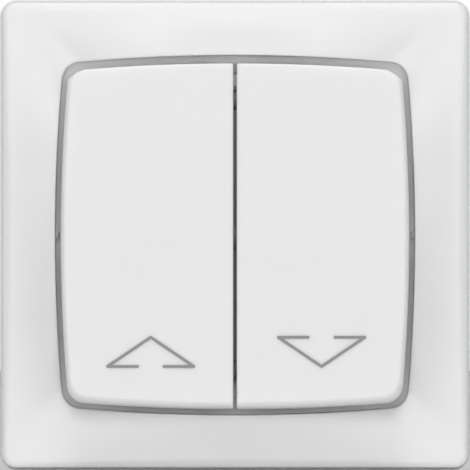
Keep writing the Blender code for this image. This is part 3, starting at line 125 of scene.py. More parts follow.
PEG_THICKNESS = 1.4 * MM
PEG_OUTER = 12.5 * MM
PEG_BARB = 0.9 * MM
PEG_BARB_HEIGHT = 7.4 * MM
PEG_ROOT = 0.2 * MM
PEG_SECTIONS = ((-0.5, 0.9), (-0.47, 1.0), (0.47, 1.0), (0.5, 0.9))  # place and scale

# Arrow prints, on the level rockers' faces: a triangle whose base is open in the middle. The
# middles are along X, top and bottom along Z.
UP_ARROW_MIDDLE = -14.46 * MM
DOWN_ARROW_MIDDLE = 14.85 * MM
ARROW_HALF_WIDTH = 7.42 * MM
ARROW_GAP_HALF = 2.07 * MM
ARROW_TOP = -18.34 * MM
ARROW_BOTTOM = -23.36 * MM
ARROW_LINE = 0.5 * MM
INK_THICKNESS = 0.012 * MM

# Turned and threaded steel
CLAW_SCREW_OFFSET = 24.0 * MM
SCREW_RADIUS = 1.6 * MM
SCREW_HEAD_RADIUS = 2.6 * MM
SCREW_HEAD = 1.6 * MM
SCREW_HEAD_BACK = -1.3 * MM
HEAD_FLAT_SHARE = 0.62  # of the head's radius, the rest is its dome
HEAD_DOME_SHARE = 0.55  # of the head's thickness
HEAD_CHAMFER = 0.1 * MM
SCREW_LENGTH = 22.8 * MM
SCREW_SLOT = 0.7 * MM
PLAIN_NECK = 1.0 * MM
THREAD_PITCH = 0.7 * MM
THREAD_DEPTH = 0.36 * MM
TIP_LENGTH = 1.2 * MM
TIP_TAPER = 0.45 * MM
RIVET_OFFSET = 23.3 * MM
RIVET_RADIUS = 1.1 * MM
RIVET_HEAD_RADIUS = 1.7 * MM
RIVET_HEAD = 0.6 * MM
RIVET_FRONT = -3.6 * MM
RIVET_BACK = 2.8 * MM
RIVET_POLE = 0.02 * MM  # radius of the tiny disc that closes each head

# Steps of the grids
MERGE_DISTANCE = 1e-7
FRAME_SIDE_STEPS = 72
CORNER_STEPS = 16
ROUND_STEPS = 7
CREASE_STEPS = 6
FACE_STEPS = 26
ROCKER_END_STEPS = 26
ROCKER_SIDE_STEPS = 50
SEAM_STEPS = 62
SOFT_EDGE_STEPS = 12
SKIRT_STEPS = 6
INNER_SKIRT_STEPS = 8
BAR_CORNER_STEPS = 5
BAR_RINGS = 8
TURNED_STEPS = 48
HEAD_STEPS = 9
SCREW_RINGS = 330

# Colours as red, green and blue. Where there are two, the finish varies between them.
FRAME_WHITE = (0.868, 0.870, 0.864)
# The rockers' white is the frame's white plastic darkened by painted shade, to offset the extra
# light that the tilted rockers catch
ROCKER_WHITE_PAINTED_SHADE = (0.848, 0.850, 0.845)
INK_GREYS = ((0.24, 0.24, 0.236), (0.28, 0.28, 0.276))
HOUSING_GREY = (0.43, 0.44, 0.44)
PLUNGER_NYLON = (0.80, 0.78, 0.70)
BUTTON_ORANGE = (0.80, 0.26, 0.035)
RING_ZINC = ((0.50, 0.515, 0.54), (0.60, 0.60, 0.57))
SCREW_ZINC = ((0.52, 0.535, 0.55), (0.62, 0.61, 0.57))
# The rivets' zinc is the plating darkened by painted shade, so that the rivets seen through the
# seam between the rockers stay dark
RIVET_ZINC_PAINTED_SHADE = ((0.26, 0.265, 0.27), (0.33, 0.33, 0.325))
SPRING_STEEL = ((0.66, 0.66, 0.67), (0.74, 0.74, 0.75))
TERMINAL_BRASS = ((0.78, 0.58, 0.25), (0.84, 0.66, 0.34))
CONTACT_SILVER = ((0.86, 0.85, 0.82), (0.92, 0.91, 0.89))
FLOOR_TONES = ((0.80, 0.80, 0.80), (0.83, 0.83, 0.83))
MOTTLE_SHADE = 0.985  # the white plastic's darkest mottling, as a share of its colour
STREAK_ROUGHNESS = 0.16  # how much the streaks and the clouds of plated steel vary its roughness
CLOUD_ROUGHNESS = 0.1

# Studio
FLOOR_HEIGHT = -41.0 * MM
FLOOR_SIZE = 3.0
CAMERA_DISTANCE = 2.0
SENSOR_WIDTH = 36.0
LENS = SENSOR_WIDTH * (CAMERA_DISTANCE - SIDE_HEIGHT) / FRAME_SIZE  # the frame fills the view
VIEW_NEAR = 0.05
VIEW_FAR = 20.0
AMBIENT = 0.2
LAMPS = (  # name, elevation and azimuth in degrees, distance and size in metres, power in watts
    ("front", 0, 0, 2.4, 0.5, 7.6),
    ("front_left", 0, -14, 2.4, 0.5, 2.4),
    ("front_right", 0, 14, 2.4, 0.5, 2.4),
    ("key", 25, 0, 2.4, 0.7, 10.4),
    ("top", 78, 0, 2.0, 0.9, 13.5),
    ("left", 5, -45, 2.4, 0.9, 4.9),
    ("right", 5, 45, 2.4, 0.9, 4.9),
)


def mesh_object(name, points, faces, sharp_angle):
    """A mesh whose faces point out, shaded smooth but for edges sharper than an angle in
    degrees."""
    mesh = bpy.data.meshes.new(name)
    mesh.from_pydata(np.asarray(points).reshape(-1, 3).tolist(), [], faces)
    bm = bmesh.new()
    bm.from_mesh(mesh)
    bmesh.ops.remove_doubles(bm, verts=bm.verts, dist=MERGE_DISTANCE)
    bmesh.ops.recalc_face_normals(bm, faces=bm.faces)
    bm.to_mesh(mesh)
    bm.free()
    mesh.shade_smooth()
    mesh.set_sharp_from_angle(angle=math.radians(sharp_angle))
    piece = bpy.data.objects.new(name, mesh)
    bpy.context.scene.collection.objects.link(piece)
    return piece


def skin(name, rings, closed=False, sharp_angle=30.0):
    """Joins rings of equally many points into a surface: each four-sided face lies between two
    neighbouring rings and two neighbouring points, and the points run round. Closed joins the last
    ring to the first, else the two end rings are capped."""
    rings = np.asarray(rings)
    rows, columns = rings.shape[:2]
    number = np.arange(rows * columns).reshape(rows, columns)
    upper = np.roll(number, -1, axis=0) if closed else number[1:]
    lower = number if closed else number[:-1]
    quads = np.stack([lower, np.roll(lower, -1, 1), np.roll(upper, -1, 1), upper], -1)
    faces = quads.reshape(-1, 4).tolist()
    if not closed:
        faces += [number[0].tolist(), number[-1].tolist()]
    return mesh_object(name, rings, faces, sharp_angle)


def turned_rings(profile, centre_x, centre_z):
    """Rings of a turned piece: each pair of a radius and a depth becomes a circle about an axis
    along Y."""
    profile = np.asarray(profile)
    angle = np.linspace(0, 2 * np.pi, TURNED_STEPS, endpoint=False)
    radius = profile[:, 0, None]
    depth = np.broadcast_to(profile[:, 1, None], (len(profile), TURNED_STEPS))
    return np.stack(
        [centre_x + radius * np.cos(angle), depth, centre_z + radius * np.sin(angle)], -1
    )


def rounded_bar(name, x, y, z, radius):
    """A bar between two values on each axis. In the plane of X and Z it is a rectangle whose
    corners are quarter circles. Towards each end along Y the outline draws in on a quarter circle
    of the same radius, until its corners are sharp."""
    low = np.minimum([x[0], y[0], z[0]], [x[1], y[1], z[1]])
    high = np.maximum([x[0], y[0], z[0]], [x[1], y[1], z[1]])
    turn = np.linspace(0, np.pi / 2, BAR_CORNER_STEPS)
    corner = np.stack([np.cos(turn), np.sin(turn)], -1)
    outline = []
    for sign_x, sign_z, flip in ((1, 1, 1), (-1, 1, -1), (-1, -1, 1), (1, -1, -1)):
        outline.append(corner[::flip] * (sign_x, sign_z))
    signs = np.sign([arc.sum(0) for arc in outline]).repeat(BAR_CORNER_STEPS, axis=0)
    arcs = np.concatenate(outline)
    half = (high - low)[[0, 2]] / 2
    middle = (high + low)[[0, 2]] / 2
    rings = []
    for angle in np.linspace(-np.pi / 2, np.pi / 2, BAR_RINGS):
        inset = radius * (1 - math.cos(angle))
        flat = middle + signs * (half - radius) + arcs * (radius - inset)
        depth = low[1] + radius if angle < 0 else high[1] - radius
        depth += radius * math.sin(angle)
        rings.append(np.stack([flat[:, 0], np.full(len(flat), depth), flat[:, 1]], -1))
    return skin(name, rings)


def barrel_corner(half, bow_radius, corner_radius):
    """The corner of a square with bowed sides: a side is an arc about a far centre, and a corner
    an arc that touches two sides. Returns the far centre's place, the corner centre's place, the
    same on both axes, and the angle at which side and corner meet."""
    bow_centre = half - bow_radius
    reach = bow_radius - corner_radius
    corner = (bow_centre + math.sqrt(2 * reach**2 - bow_centre**2)) / 2
    return bow_centre, corner, math.atan2(corner, corner - bow_centre)


def four_turns(pairs):
    """A quarter of an outline, repeated at 0, 90, 180 and 270 degrees."""
    quarters = []
    for turn in range(4):
        c, s = round(math.cos(turn * math.pi / 2)), round(math.sin(turn * math.pi / 2))
        quarters.append(pairs @ np.array([[c, s], [-s, c]]))
    return np.concatenate(quarters)


def bowed_stations(half, bow_radius, corner_radius):
    """Stations round a square with bowed sides: points, outward normals, and the place on the
    side, from -1 to 1. Along a side the sine of the angle grows evenly."""
    bow_centre, corner, lean = barrel_corner(half, bow_radius, corner_radius)
    place = np.linspace(-1, 1, FRAME_SIDE_STEPS, endpoint=False)
    along = np.arcsin(place * math.sin(lean))
    side_normals = np.stack([np.cos(along), np.sin(along)], -1)
    side_points = side_normals * bow_radius + (bow_centre, 0)
    turn = np.linspace(lean, np.pi / 2 - lean, CORNER_STEPS, endpoint=False)
    corner_normals = np.stack([np.cos(turn), np.sin(turn)], -1)
    corner_points = corner_normals * corner_radius + corner
    quarter = np.concatenate([side_points, corner_points])
    normals = np.concatenate([side_normals, corner_normals])
    places = np.concatenate([place, np.ones(CORNER_STEPS)])
    return four_turns(quarter), four_turns(normals), np.tile(places, 4)


def square_stations(half, corner_radius):
    """Points and outward normals of a rounded square that answer to the bowed square's, one by
    one."""
    inner = half - corner_radius
    along = inner * np.linspace(-1, 1, FRAME_SIDE_STEPS, endpoint=False)
    side_points = np.stack([np.full(FRAME_SIDE_STEPS, half), along], -1)
    side_normals = np.tile([1.0, 0.0], (FRAME_SIDE_STEPS, 1))
    turn = np.linspace(0, np.pi / 2, CORNER_STEPS, endpoint=False)
    corner_normals = np.stack([np.cos(turn), np.sin(turn)], -1)
    corner_points = corner_normals * corner_radius + inner
    points = four_turns(np.concatenate([side_points, corner_points]))
    return points, four_turns(np.concatenate([side_normals, corner_normals]))


def at_height(pairs, height):
    """Points in the plane of X and Z, at a height in front of the wall."""
    height = np.broadcast_to(height, len(pairs))
    return np.stack([pairs[:, 0], -height, pairs[:, 1]], -1)


def make_frame_shell():
    """The cover frame's skin, as rings round it. They go up the outer wall, which leans in, over a
    crisp round edge and up the sloping band, across the face to the lip, down the collar, round the
    ledge, and back behind the face. A crease joins band and face as a parabola that touches both.
    At each place on a side the face stands as high as the corner plus a crown times a swell. The
    crown is one less the square of the place, to a power, so it falls from the middle of a side to
    nothing at the corners. The swell grows from the rim to the lip by a power of the way gone."""
    lip, lip_normals, place = bowed_stations(
        OPENING_SIZE / 2, OPENING_BOW_RADIUS, OPENING_CORNER_RADIUS
    )
    square, square_normals = square_stations(FRAME_SIZE / 2, FRAME_CORNER_RADIUS)
    crown = np.maximum(0, 1 - place**2) ** CROWN_CURVE
    band_start = SIDE_HEIGHT + EDGE_RADIUS * math.cos(BAND_SLOPE)
    corner_height = band_start + BAND_RISE
    face_width = FRAME_SIZE / 2 - OPENING_SIZE / 2

    def outer(inset, height):
        """The rounded square, drawn in by an inset."""
        inset = np.broadcast_to(inset, len(square))[:, None]
        return at_height(square - square_normals * inset, height)

    def inner(offset, height):
        """The opening's outline, let out by an offset."""
        return at_height(lip + lip_normals * offset, height)

    def face_height(share):
        """Height of the face at a share of the way from the lip to the rim."""
        swell = (FACE_LIP_RISE - FACE_RIM_RISE) * (1 - share) ** FACE_CURVE
        return corner_height + crown * (FACE_RIM_RISE + swell)

    rise = BAND_RISE + crown * FACE_RIM_RISE
    rim_inset = EDGE_RADIUS * (1 - math.sin(BAND_SLOPE)) + rise / math.tan(BAND_SLOPE)
    rim = outer(rim_inset, face_height(1.0))
    lip_outer = inner(LIP_RADIUS, face_height(0.0))

    def face(share):
        """A ring across the face, at a share of the way from the lip to the rim."""
        ring = lip_outer + (rim - lip_outer) * share
        ring[:, 1] = -face_height(share)
        return ring

    rings = [outer(0, FRAME_BACK + BACK_CHAMFER)]
    wall_top = band_start - CRISP_EDGE * math.cos(BAND_SLOPE)
    for angle in np.linspace(0, math.pi / 2 - BAND_SLOPE, ROUND_STEPS):
        inset = WALL_DRAFT + CRISP_EDGE * (1 - math.cos(angle))
        rings.append(outer(inset, wall_top + CRISP_EDGE * math.sin(angle)))

    to_band = rings[-1] - rim
    before = rim + to_band / np.linalg.norm(to_band, axis=1)[:, None] * CREASE
    after_share = 1 - 2 * CREASE / face_width
    after = face(after_share)
    for t in np.linspace(0, 1, CREASE_STEPS):
        rings.append((1 - t) ** 2 * before + 2 * t * (1 - t) * rim + t**2 * after)
    for share in np.linspace(after_share, 0, FACE_STEPS)[1:]:
        rings.append(face(share))

    for angle in np.linspace(0, math.pi / 2, ROUND_STEPS)[1:]:
        drop = LIP_RADIUS * (1 - math.cos(angle))
        rings.append(inner(LIP_RADIUS * (1 - math.sin(angle)), face_height(0.0) - drop))
    lip_foot = rings[-1]
    collar_foot = inner(-COLLAR_DRAFT, LEDGE_FRONT)
    for share in COLLAR_SHARES:
        rings.append(lip_foot + (collar_foot - lip_foot) * share)
    rings.append(collar_foot)
    rings.append(inner(-LEDGE_REACH, LEDGE_FRONT))
    rings.append(inner(-LEDGE_REACH, LEDGE_BACK))
    rings.append(inner(COLLAR_WALL, LEDGE_BACK))

    hollow_inner = inner(COLLAR_WALL, 0)
    hollow_outer = outer(FRAME_WALL, 0)
    collar_share = COLLAR_WALL / face_width
    for share in HOLLOW_SHARES:
        ring = hollow_inner + (hollow_outer - hollow_inner) * share
        ring[:, 1] = -(face_height(max(share, collar_share)) - FRAME_WALL)
        rings.append(ring)
    rings.append(outer(FRAME_WALL, band_start - FRAME_WALL))
    rings.append(outer(FRAME_WALL, FRAME_BACK))
    rings.append(outer(BACK_CHAMFER, FRAME_BACK))
    return skin("frame_shell", rings, closed=True, sharp_angle=40)


def make_latch_arms():
    """Snap arms behind the frame's face, with their nubs, and the centring nubs on the ledge."""
    arms = []
    for word, side in LEFT_AND_RIGHT:
        for height, end in LOWER_AND_UPPER:
            middle = end * LATCH_OFFSET
            x = (side * LATCH_INNER, side * (LATCH_INNER + LATCH_THICKNESS))
            z = (middle - LATCH_WIDTH / 2, middle + LATCH_WIDTH / 2)
            name = f"{word}_{height}_latch"
            arms.append(rounded_bar(name, x, (-LATCH_ROOT, -LATCH_END), z, LATCH_ROUND))
            nub_inner = LATCH_INNER - SEAT_GAP - LATCH_NUB
            x = (side * nub_inner, side * (LATCH_INNER + LATCH_NUB_ROOT))
            y = (-LATCH_NUB_HEIGHT - LATCH_NUB / 2, -LATCH_NUB_HEIGHT + LATCH_NUB / 2)
            z = (middle - LATCH_NUB, middle + LATCH_NUB)
            arms.append(rounded_bar(f"{name}_nub", x, y, z, NUB_ROUND))
        x = (side * (OPENING_SIZE / 2 - NUB_REACH), side * (OPENING_SIZE / 2 + NUB_ROOT))
        y = (-LEDGE_FRONT - NUB_HEIGHT, -LEDGE_FRONT + NUB_ROOT)
        z = (-NUB_LENGTH / 2, NUB_LENGTH / 2)
        arms.append(rounded_bar(f"{word}_centring_nub", x, y, z, NUB_ROUND))
    return arms


def half_barrel(side, half, inset):
    """One rocker's outline, as X and Z: half of a square with bowed sides, offset inwards by an
    inset, with small round corners at the seam."""
    radius = ROCKER_BOW_RADIUS - inset
    corner_radius = ROCKER_CORNER_RADIUS - inset
    bow_centre, corner, lean = barrel_corner(half - inset, radius, corner_radius)
    run = radius * math.sin(lean)
    small = SEAM_CORNER_RADIUS
    start = SEAM / 2 + inset + small

    def edge(along):
        """How far out a bowed side lies, at a place along it."""
        return bow_centre + np.sqrt(radius**2 - along**2)

    def arc(centre_x, centre_z, size, first, last, steps):
        """Points on a circle of a size, from one angle to another."""
        turn = np.linspace(first, last, steps)
        return np.stack([centre_x + size * np.cos(turn), centre_z + size * np.sin(turn)], -1)

    end = edge(start) - small
    quarter = math.pi / 2
    across = np.linspace(start, run, ROCKER_END_STEPS)[1:-1]
    up = np.linspace(-run, run, ROCKER_SIDE_STEPS)[1:-1]
    seam = np.linspace(end, -end, SEAM_STEPS)[1:-1]
    outline = np.concatenate(
        [
            arc(start, -end, small, 2 * quarter, 3 * quarter, ROUND_STEPS),
            np.stack([across, -edge(across)], -1),
            arc(corner, -corner, corner_radius, lean - quarter, -lean, CORNER_STEPS),
            np.stack([edge(up), up], -1),
            arc(corner, corner, corner_radius, lean, quarter - lean, CORNER_STEPS),
            np.stack([across[::-1], edge(across[::-1])], -1),
            arc(start, end, small, quarter, 2 * quarter, ROUND_STEPS),
            np.stack([np.full(len(seam), start - small), seam], -1),
        ]
    )
    return outline * (side, 1)


def tilted(points):
    """Turns points of a level rocker to its place at rest, by the tilt about the hinge, which runs
    along X."""
    points = np.asarray(points, float).copy()
    y, z = points[..., 1] + HINGE_HEIGHT, points[..., 2].copy()
    c, s = math.cos(REST_TILT), math.sin(REST_TILT)
    points[..., 1] = y * c + z * s - HINGE_HEIGHT
    points[..., 2] = z * c - y * s
    return points


def quarter_ellipse(drop, width, depth):
    """How far a quarter ellipse has come out at a drop below its start: the width times the root
    of one less the square of the share of the depth that is left."""
    left = np.clip(1 - drop / depth, 0, 1)
    return width * math.sqrt(1 - left**2)


def make_rocker_cap(word, side):
    """A rocker: a flat face, a skirt, and the same again inside. A quarter of an ellipse joins
    face and skirt at the sides and below. Above, and at the seam, the edge is a small quarter
    circle, and above the skirt flares evenly. Between the two the outline changes over smoothly, by
    three squares less two cubes of the share of the way. The skirt at the seam is cut back between
    the ends, where the cover's ears and rivets are."""
    top = -ROCKER_FACE_HEIGHT
    face_half = ROCKER_FOOT_HALF - SKIRT_FLARE
    flat_half = ROCKER_FOOT_HALF - SOFT_EDGE_WIDTH
    radius = ROCKER_EDGE_RADIUS

    def ring(drop, inset=0.0):
        """The outline at a drop below the face, drawn in by an inset."""
        small_edge = quarter_ellipse(drop, radius, radius)
        seam_inset = inset + radius - small_edge
        soft_half = flat_half + quarter_ellipse(drop, SOFT_EDGE_WIDTH, SOFT_EDGE_DEPTH)
        upper_half = face_half - radius + small_edge + SKIRT_FLARE * drop / SKIRT_DEPTH
        soft, upper = (
            half_barrel(side, half - inset + seam_inset, seam_inset)
            for half in (soft_half, upper_half)
        )
        changeover = UPPER_EDGE_END - UPPER_EDGE_START
        share = np.clip((soft[:, 1] - UPPER_EDGE_START) / changeover, 0, 1)
        share = (share**2 * (3 - 2 * share))[:, None]
        pairs = soft + (upper - soft) * share
        points = np.stack([pairs[:, 0], np.full(len(pairs), top + drop), pairs[:, 1]], -1)
        points[:, 2] -= ROCKER_DROP
        at_seam = np.abs(pairs[:, 0]) < SEAM / 2 + ROCKER_WALL + SEAM_WALL_MARGIN
        between = np.abs(pairs[:, 1]) < face_half - 2 * ROCKER_WALL
        cut_back = at_seam & between
        points[cut_back, 1] = np.minimum(points[cut_back, 1], -SEAM_WALL_END)
        return points

    small_drops = radius * (1 - np.cos(np.linspace(0, math.pi / 2, ROUND_STEPS)))
    soft_turn = np.linspace(0, math.pi / 2, SOFT_EDGE_STEPS)
    soft_drops = SOFT_EDGE_DEPTH * (1 - np.cos(soft_turn))
    soft_drops = soft_drops[soft_drops > radius * SOFT_RINGS_BEGIN]
    skirt_drops = np.linspace(SOFT_EDGE_DEPTH, SKIRT_DEPTH - FOOT_CHAMFER, SKIRT_STEPS)[1:]
    rings = [ring(0.0, FACE_BORDER)]
    rings += [ring(drop) for drop in np.concatenate([small_drops, soft_drops, skirt_drops])]
    rings.append(ring(SKIRT_DEPTH, FOOT_CHAMFER))
    rings.append(ring(SKIRT_DEPTH, ROCKER_WALL))
    for drop in np.linspace(SKIRT_DEPTH, ROCKER_WALL, INNER_SKIRT_STEPS)[1:]:
        rings.append(ring(drop, ROCKER_WALL))
    return skin(f"{word}_rocker_cap", tilted(rings), sharp_angle=35)


def make_pegs(word, side):
    """The two barbed pegs that hold a rocker on its carrier: a hooked outline given a width, and
    drawn in a little at both of its faces."""
    pegs = []
    root = ROCKER_FACE_HEIGHT - ROCKER_WALL + PEG_ROOT
    outline = np.array(
        [
            (root, PEG_OUTER - PEG_THICKNESS),
            (root, PEG_OUTER),
            (PEG_BARB_HEIGHT, PEG_OUTER),
            (PEG_BARB_HEIGHT, PEG_OUTER + PEG_BARB),
            (PEG_BARB_HEIGHT - PEG_BARB, PEG_OUTER),
            (PEG_BARB_HEIGHT - PEG_BARB, PEG_OUTER - PEG_THICKNESS),
        ]
    )
    middle = outline.mean(0)
    for height, end in LOWER_AND_UPPER:
        rings = []
        for across, shrink in PEG_SECTIONS:
            pairs = middle + (outline - middle) * shrink
            x = np.full(len(pairs), side * POLE_OFFSET + across * PEG_WIDTH)
            rings.append(np.stack([x, -pairs[:, 0], end * pairs[:, 1]], -1))
        pegs.append(skin(f"{word}_{height}_peg", tilted(rings), sharp_angle=20))
    return pegs


def make_arrow(word, up):
    """An arrow print: an open polyline given a line's width and the ink's thickness. At a corner
    the inner side meets at a point, half the width over the cosine of half the turn away, and the
    outer side runs round the corner on an arc."""
    apex_z, base_z = (ARROW_TOP, ARROW_BOTTOM) if up else (ARROW_BOTTOM, ARROW_TOP)
    middle = UP_ARROW_MIDDLE if up else DOWN_ARROW_MIDDLE
    path = np.array(
        [
            (middle - ARROW_GAP_HALF, base_z),
            (middle - ARROW_HALF_WIDTH, base_z),
            (middle, apex_z),
            (middle + ARROW_HALF_WIDTH, base_z),
            (middle + ARROW_GAP_HALF, base_z),
        ]
    )
    steps = np.diff(path, axis=0)
    steps /= np.linalg.norm(steps, axis=1)[:, None]
    normals = np.stack([-steps[:, 1], steps[:, 0]], -1) * ARROW_LINE / 2
    sides = [(path[0] + normals[0], path[0] - normals[0])]
    for corner, before, after in zip(path[1:-1], normals[:-1], normals[1:]):
        turn = math.atan2(before[0] * after[1] - before[1] * after[0], before @ after)
        hand = math.copysign(1, turn)
        bisector = (before + after) / np.linalg.norm(before + after)
        inner = corner + hand * bisector * ARROW_LINE / 2 / math.cos(turn / 2)
        for part in np.linspace(0, turn, ROUND_STEPS):
            c, s = math.cos(part), math.sin(part)
            swung = np.array([before[0] * c - before[1] * s, before[0] * s + before[1] * c])
            outer = corner - hand * swung
            sides.append((inner, outer) if hand > 0 else (outer, inner))
    sides.append((path[-1] + normals[-1], path[-1] - normals[-1]))
    low, high = -ROCKER_FACE_HEIGHT, -ROCKER_FACE_HEIGHT - INK_THICKNESS
    rings = []
    for one, other in sides:
        section = ((one, low), (one, high), (other, high), (other, low))
        rings.append([(pair[0], depth, pair[1]) for pair, depth in section])
    return skin(f"{word}_arrow_print", tilted(rings), sharp_angle=20)


def screw_head_rings(centre_x, front):
    """A pan head: a flat front, a dome that rounds over to its side, and a small chamfer."""
    turn = np.linspace(0, math.pi / 2, HEAD_STEPS)
    radius = SCREW_HEAD_RADIUS
    dome_radii = radius * (HEAD_FLAT_SHARE + (1 - HEAD_FLAT_SHARE) * np.sin(turn))
    dome_depths = front + SCREW_HEAD * HEAD_DOME_SHARE * (1 - np.cos(turn))
    back = [
        (radius, SCREW_HEAD_BACK - HEAD_CHAMFER),
        (radius - HEAD_CHAMFER, SCREW_HEAD_BACK),
    ]
    profile = np.concatenate([np.stack([dome_radii, dome_depths], -1), back])
    return turned_rings(profile, centre_x, 0)


def thread_rings(centre_x):
    """A threaded shank. Its radius is less by the thread's depth times a triangle wave, which has
    one period for each pitch along the shank and shifts by one period in a turn round it. The wave
    fades in behind a plain neck, and the radius tapers at the tip."""
    end = SCREW_HEAD_BACK + SCREW_LENGTH
    depth = np.linspace(SCREW_HEAD_BACK, end, SCREW_RINGS)[:, None]
    angle = np.linspace(0, 2 * np.pi, TURNED_STEPS, endpoint=False)
    wave = np.abs((depth / THREAD_PITCH - angle / (2 * np.pi)) % 1 - 0.5) * 2
    fade = np.clip((depth - SCREW_HEAD_BACK - PLAIN_NECK) / THREAD_PITCH, 0, 1)
    taper = np.clip((depth - end + TIP_LENGTH) / TIP_LENGTH, 0, 1) * TIP_TAPER
    radius = SCREW_RADIUS - THREAD_DEPTH * wave * fade - taper
    x, z = centre_x + radius * np.cos(angle), radius * np.sin(angle)
    return np.stack([x, np.broadcast_to(depth, radius.shape), z], -1)


def cut_slot(screw, centre_x, front, sharp_angle):
    """Cuts the driver's slot across a screw's head. The cutter is a bar wider than the head."""
    slot = bpy.data.meshes.new("slot")
    bm = bmesh.new()
    bmesh.ops.create_cube(bm, size=1.0)
    slot_size = (4 * SCREW_HEAD_RADIUS, SCREW_HEAD, SCREW_SLOT)
    bmesh.ops.scale(bm, vec=slot_size, verts=bm.verts)
    bmesh.ops.translate(bm, vec=(centre_x, front, 0), verts=bm.verts)
    bm.to_mesh(slot)
    bm.free()
    cutter = bpy.data.objects.new("slot", slot)
    bpy.context.scene.collection.objects.link(cutter)
    boolean = screw.modifiers.new("slot", "BOOLEAN")
    boolean.operation = "DIFFERENCE"
    boolean.object = cutter
    bpy.context.view_layer.update()
    depsgraph = bpy.context.evaluated_depsgraph_get()
    slotted = bpy.data.meshes.new_from_object(screw.evaluated_get(depsgraph))
    screw.modifiers.clear()
    screw.data = slotted
    slotted.set_sharp_from_angle(angle=math.radians(sharp_angle))
    bpy.data.objects.remove(cutter)


def make_claw_screw(word, side):
    """A slotted pan head screw with a cut thread."""
    sharp_angle = 40
    centre_x = side * CLAW_SCREW_OFFSET
    front = SCREW_HEAD_BACK - SCREW_HEAD
    rings = np.concatenate([screw_head_rings(centre_x, front), thread_rings(centre_x)])
    screw = skin(f"{word}_threaded_screw", rings, sharp_angle=sharp_angle)
    cut_slot(screw, centre_x, front, sharp_angle)
    return screw


def make_rivet(word, end):
    """A rivet with a domed head at each end, turned from one profile."""
    turn = np.linspace(0, math.pi / 2, ROUND_STEPS)
    radius = RIVET_HEAD_RADIUS
    dome = np.stack([radius * np.sin(turn), RIVET_HEAD * (1 - np.cos(turn))], -1)
    dome[0, 0] = RIVET_POLE
    front = dome + (0, RIVET_FRONT - RIVET_HEAD)
    back = dome[::-1] * (1, -1) + (0, RIVET_BACK + RIVET_HEAD)
    shank = [(RIVET_RADIUS, RIVET_FRONT), (RIVET_RADIUS, RIVET_BACK)]
    rings = turned_rings(np.concatenate([front, shank, back]), 0, end * RIVET_OFFSET)
    return skin(f"{word}_domed_rivet", rings, sharp_angle=40)


class Wire:
    """A socket that a value comes out of, so that shader sums read as sums."""

    def __init__(self, owner, socket):
        self.owner = owner
        self.socket = socket

    def math(self, operation, other):
        """Adds a Math node that works on this value and another."""
        return self.owner.node("ShaderNodeMath", {"operation": operation}, {0: self, 1: other})

    def __add__(self, other):
        return self.math("ADD", other)

    def __mul__(self, other):
        return self.math("MULTIPLY", other)

    __radd__ = __add__
    __rmul__ = __mul__


class Nodes:
    """A node tree under construction, of a material or of the world."""

    def __init__(self, tree):
        self.tree = tree

    def feed(self, socket, value):
        """Links a wire to a socket, or sets the socket to a number or a colour."""
        if isinstance(value, Wire):
            self.tree.links.new(value.socket, socket)
        elif isinstance(value, tuple) and len(value) == 3 and socket.type == "RGBA":
            socket.default_value = (*value, 1.0)
        else:
            socket.default_value = value

    def node(self, kind, settings=None, inputs=None, output=0):
        """Adds a node of a type, with its settings first and then its sockets' values or links."""
        node = self.tree.nodes.new(kind)
        for key, value in (settings or {}).items():
            setattr(node, key, value)
        for key, value in (inputs or {}).items():
            self.feed(node.inputs[key], value)
        return Wire(self, node.outputs[output])


class Finish(Nodes):
    """A material under construction."""

    def __init__(self, name):
        self.material = bpy.data.materials.new(name)
        self.material.use_nodes = True
        super().__init__(self.material.node_tree)
        self.shader = self.tree.nodes["Principled BSDF"]

    def set(self, **values):
        """Sets or links the shader's sockets, named with underscores for their spaces."""
        for key, value in values.items():
            self.feed(self.shader.inputs[key.replace("_", " ")], value)

    def noise(self, per_metre, detail=3.0, roughness=0.5, stretch=(1.0, 1.0, 1.0)):
        """Fractal noise from 0 to 1, with about so many cells in a metre."""
        position = self.node("ShaderNodeTexCoord", output="Object")
        place = self.node("ShaderNodeMapping", {}, {"Vector": position, "Scale": stretch})
        return self.node(
            "ShaderNodeTexNoise",
            {},
            {"Vector": place, "Scale": per_metre, "Detail": detail, "Roughness": roughness},
        )

    def blend(self, share, low, high):
        """A colour that goes from one to another as a share goes from 0 to 1. The sockets 6 and 7
        take the colours of a Mix node, and its output 2 gives the result."""
        return self.node(
            "ShaderNodeMix", {"data_type": "RGBA"}, {"Factor": share, 6: low, 7: high}, output=2
        )

    def bump(self, height, distance, strength=1.0, edge=0.0):
        """Bump from a height field, on edges that look rounded by a radius where one is given."""
        inputs = {"Height": height, "Distance": distance, "Strength": strength}
        if edge:
            inputs["Normal"] = self.node("ShaderNodeBevel", {"samples": 6}, {"Radius": edge})
        return self.node("ShaderNodeBump", {}, inputs)


def spread_about(middle, spread, pattern):
    """A value that a pattern from 0 to 1 spreads evenly about a middle."""
    return pattern * spread + (middle - spread / 2)


def white_plastic(name, colour):
    """White moulded plastic with a satin gloss: barely mottled, a fine moulded grain, light that
    goes a little way in."""
    finish = Finish(name)
    mottle = finish.noise(per_metre=90.0, detail=2.0)
    grain = finish.noise(per_metre=5200.0, detail=2.0)
    darker = tuple(value * MOTTLE_SHADE for value in colour)
    finish.set(
        Base_Color=finish.blend(mottle, darker, colour),
        Roughness=spread_about(middle=0.36, spread=0.05, pattern=grain),
        Normal=finish.bump(grain, distance=0.004 * MM, strength=0.35),
        Subsurface_Weight=1.0,
        Subsurface_Radius=(1.0, 1.0, 1.0),
        Subsurface_Scale=1.5 * MM,
        IOR=1.5,
    )
    return finish.material


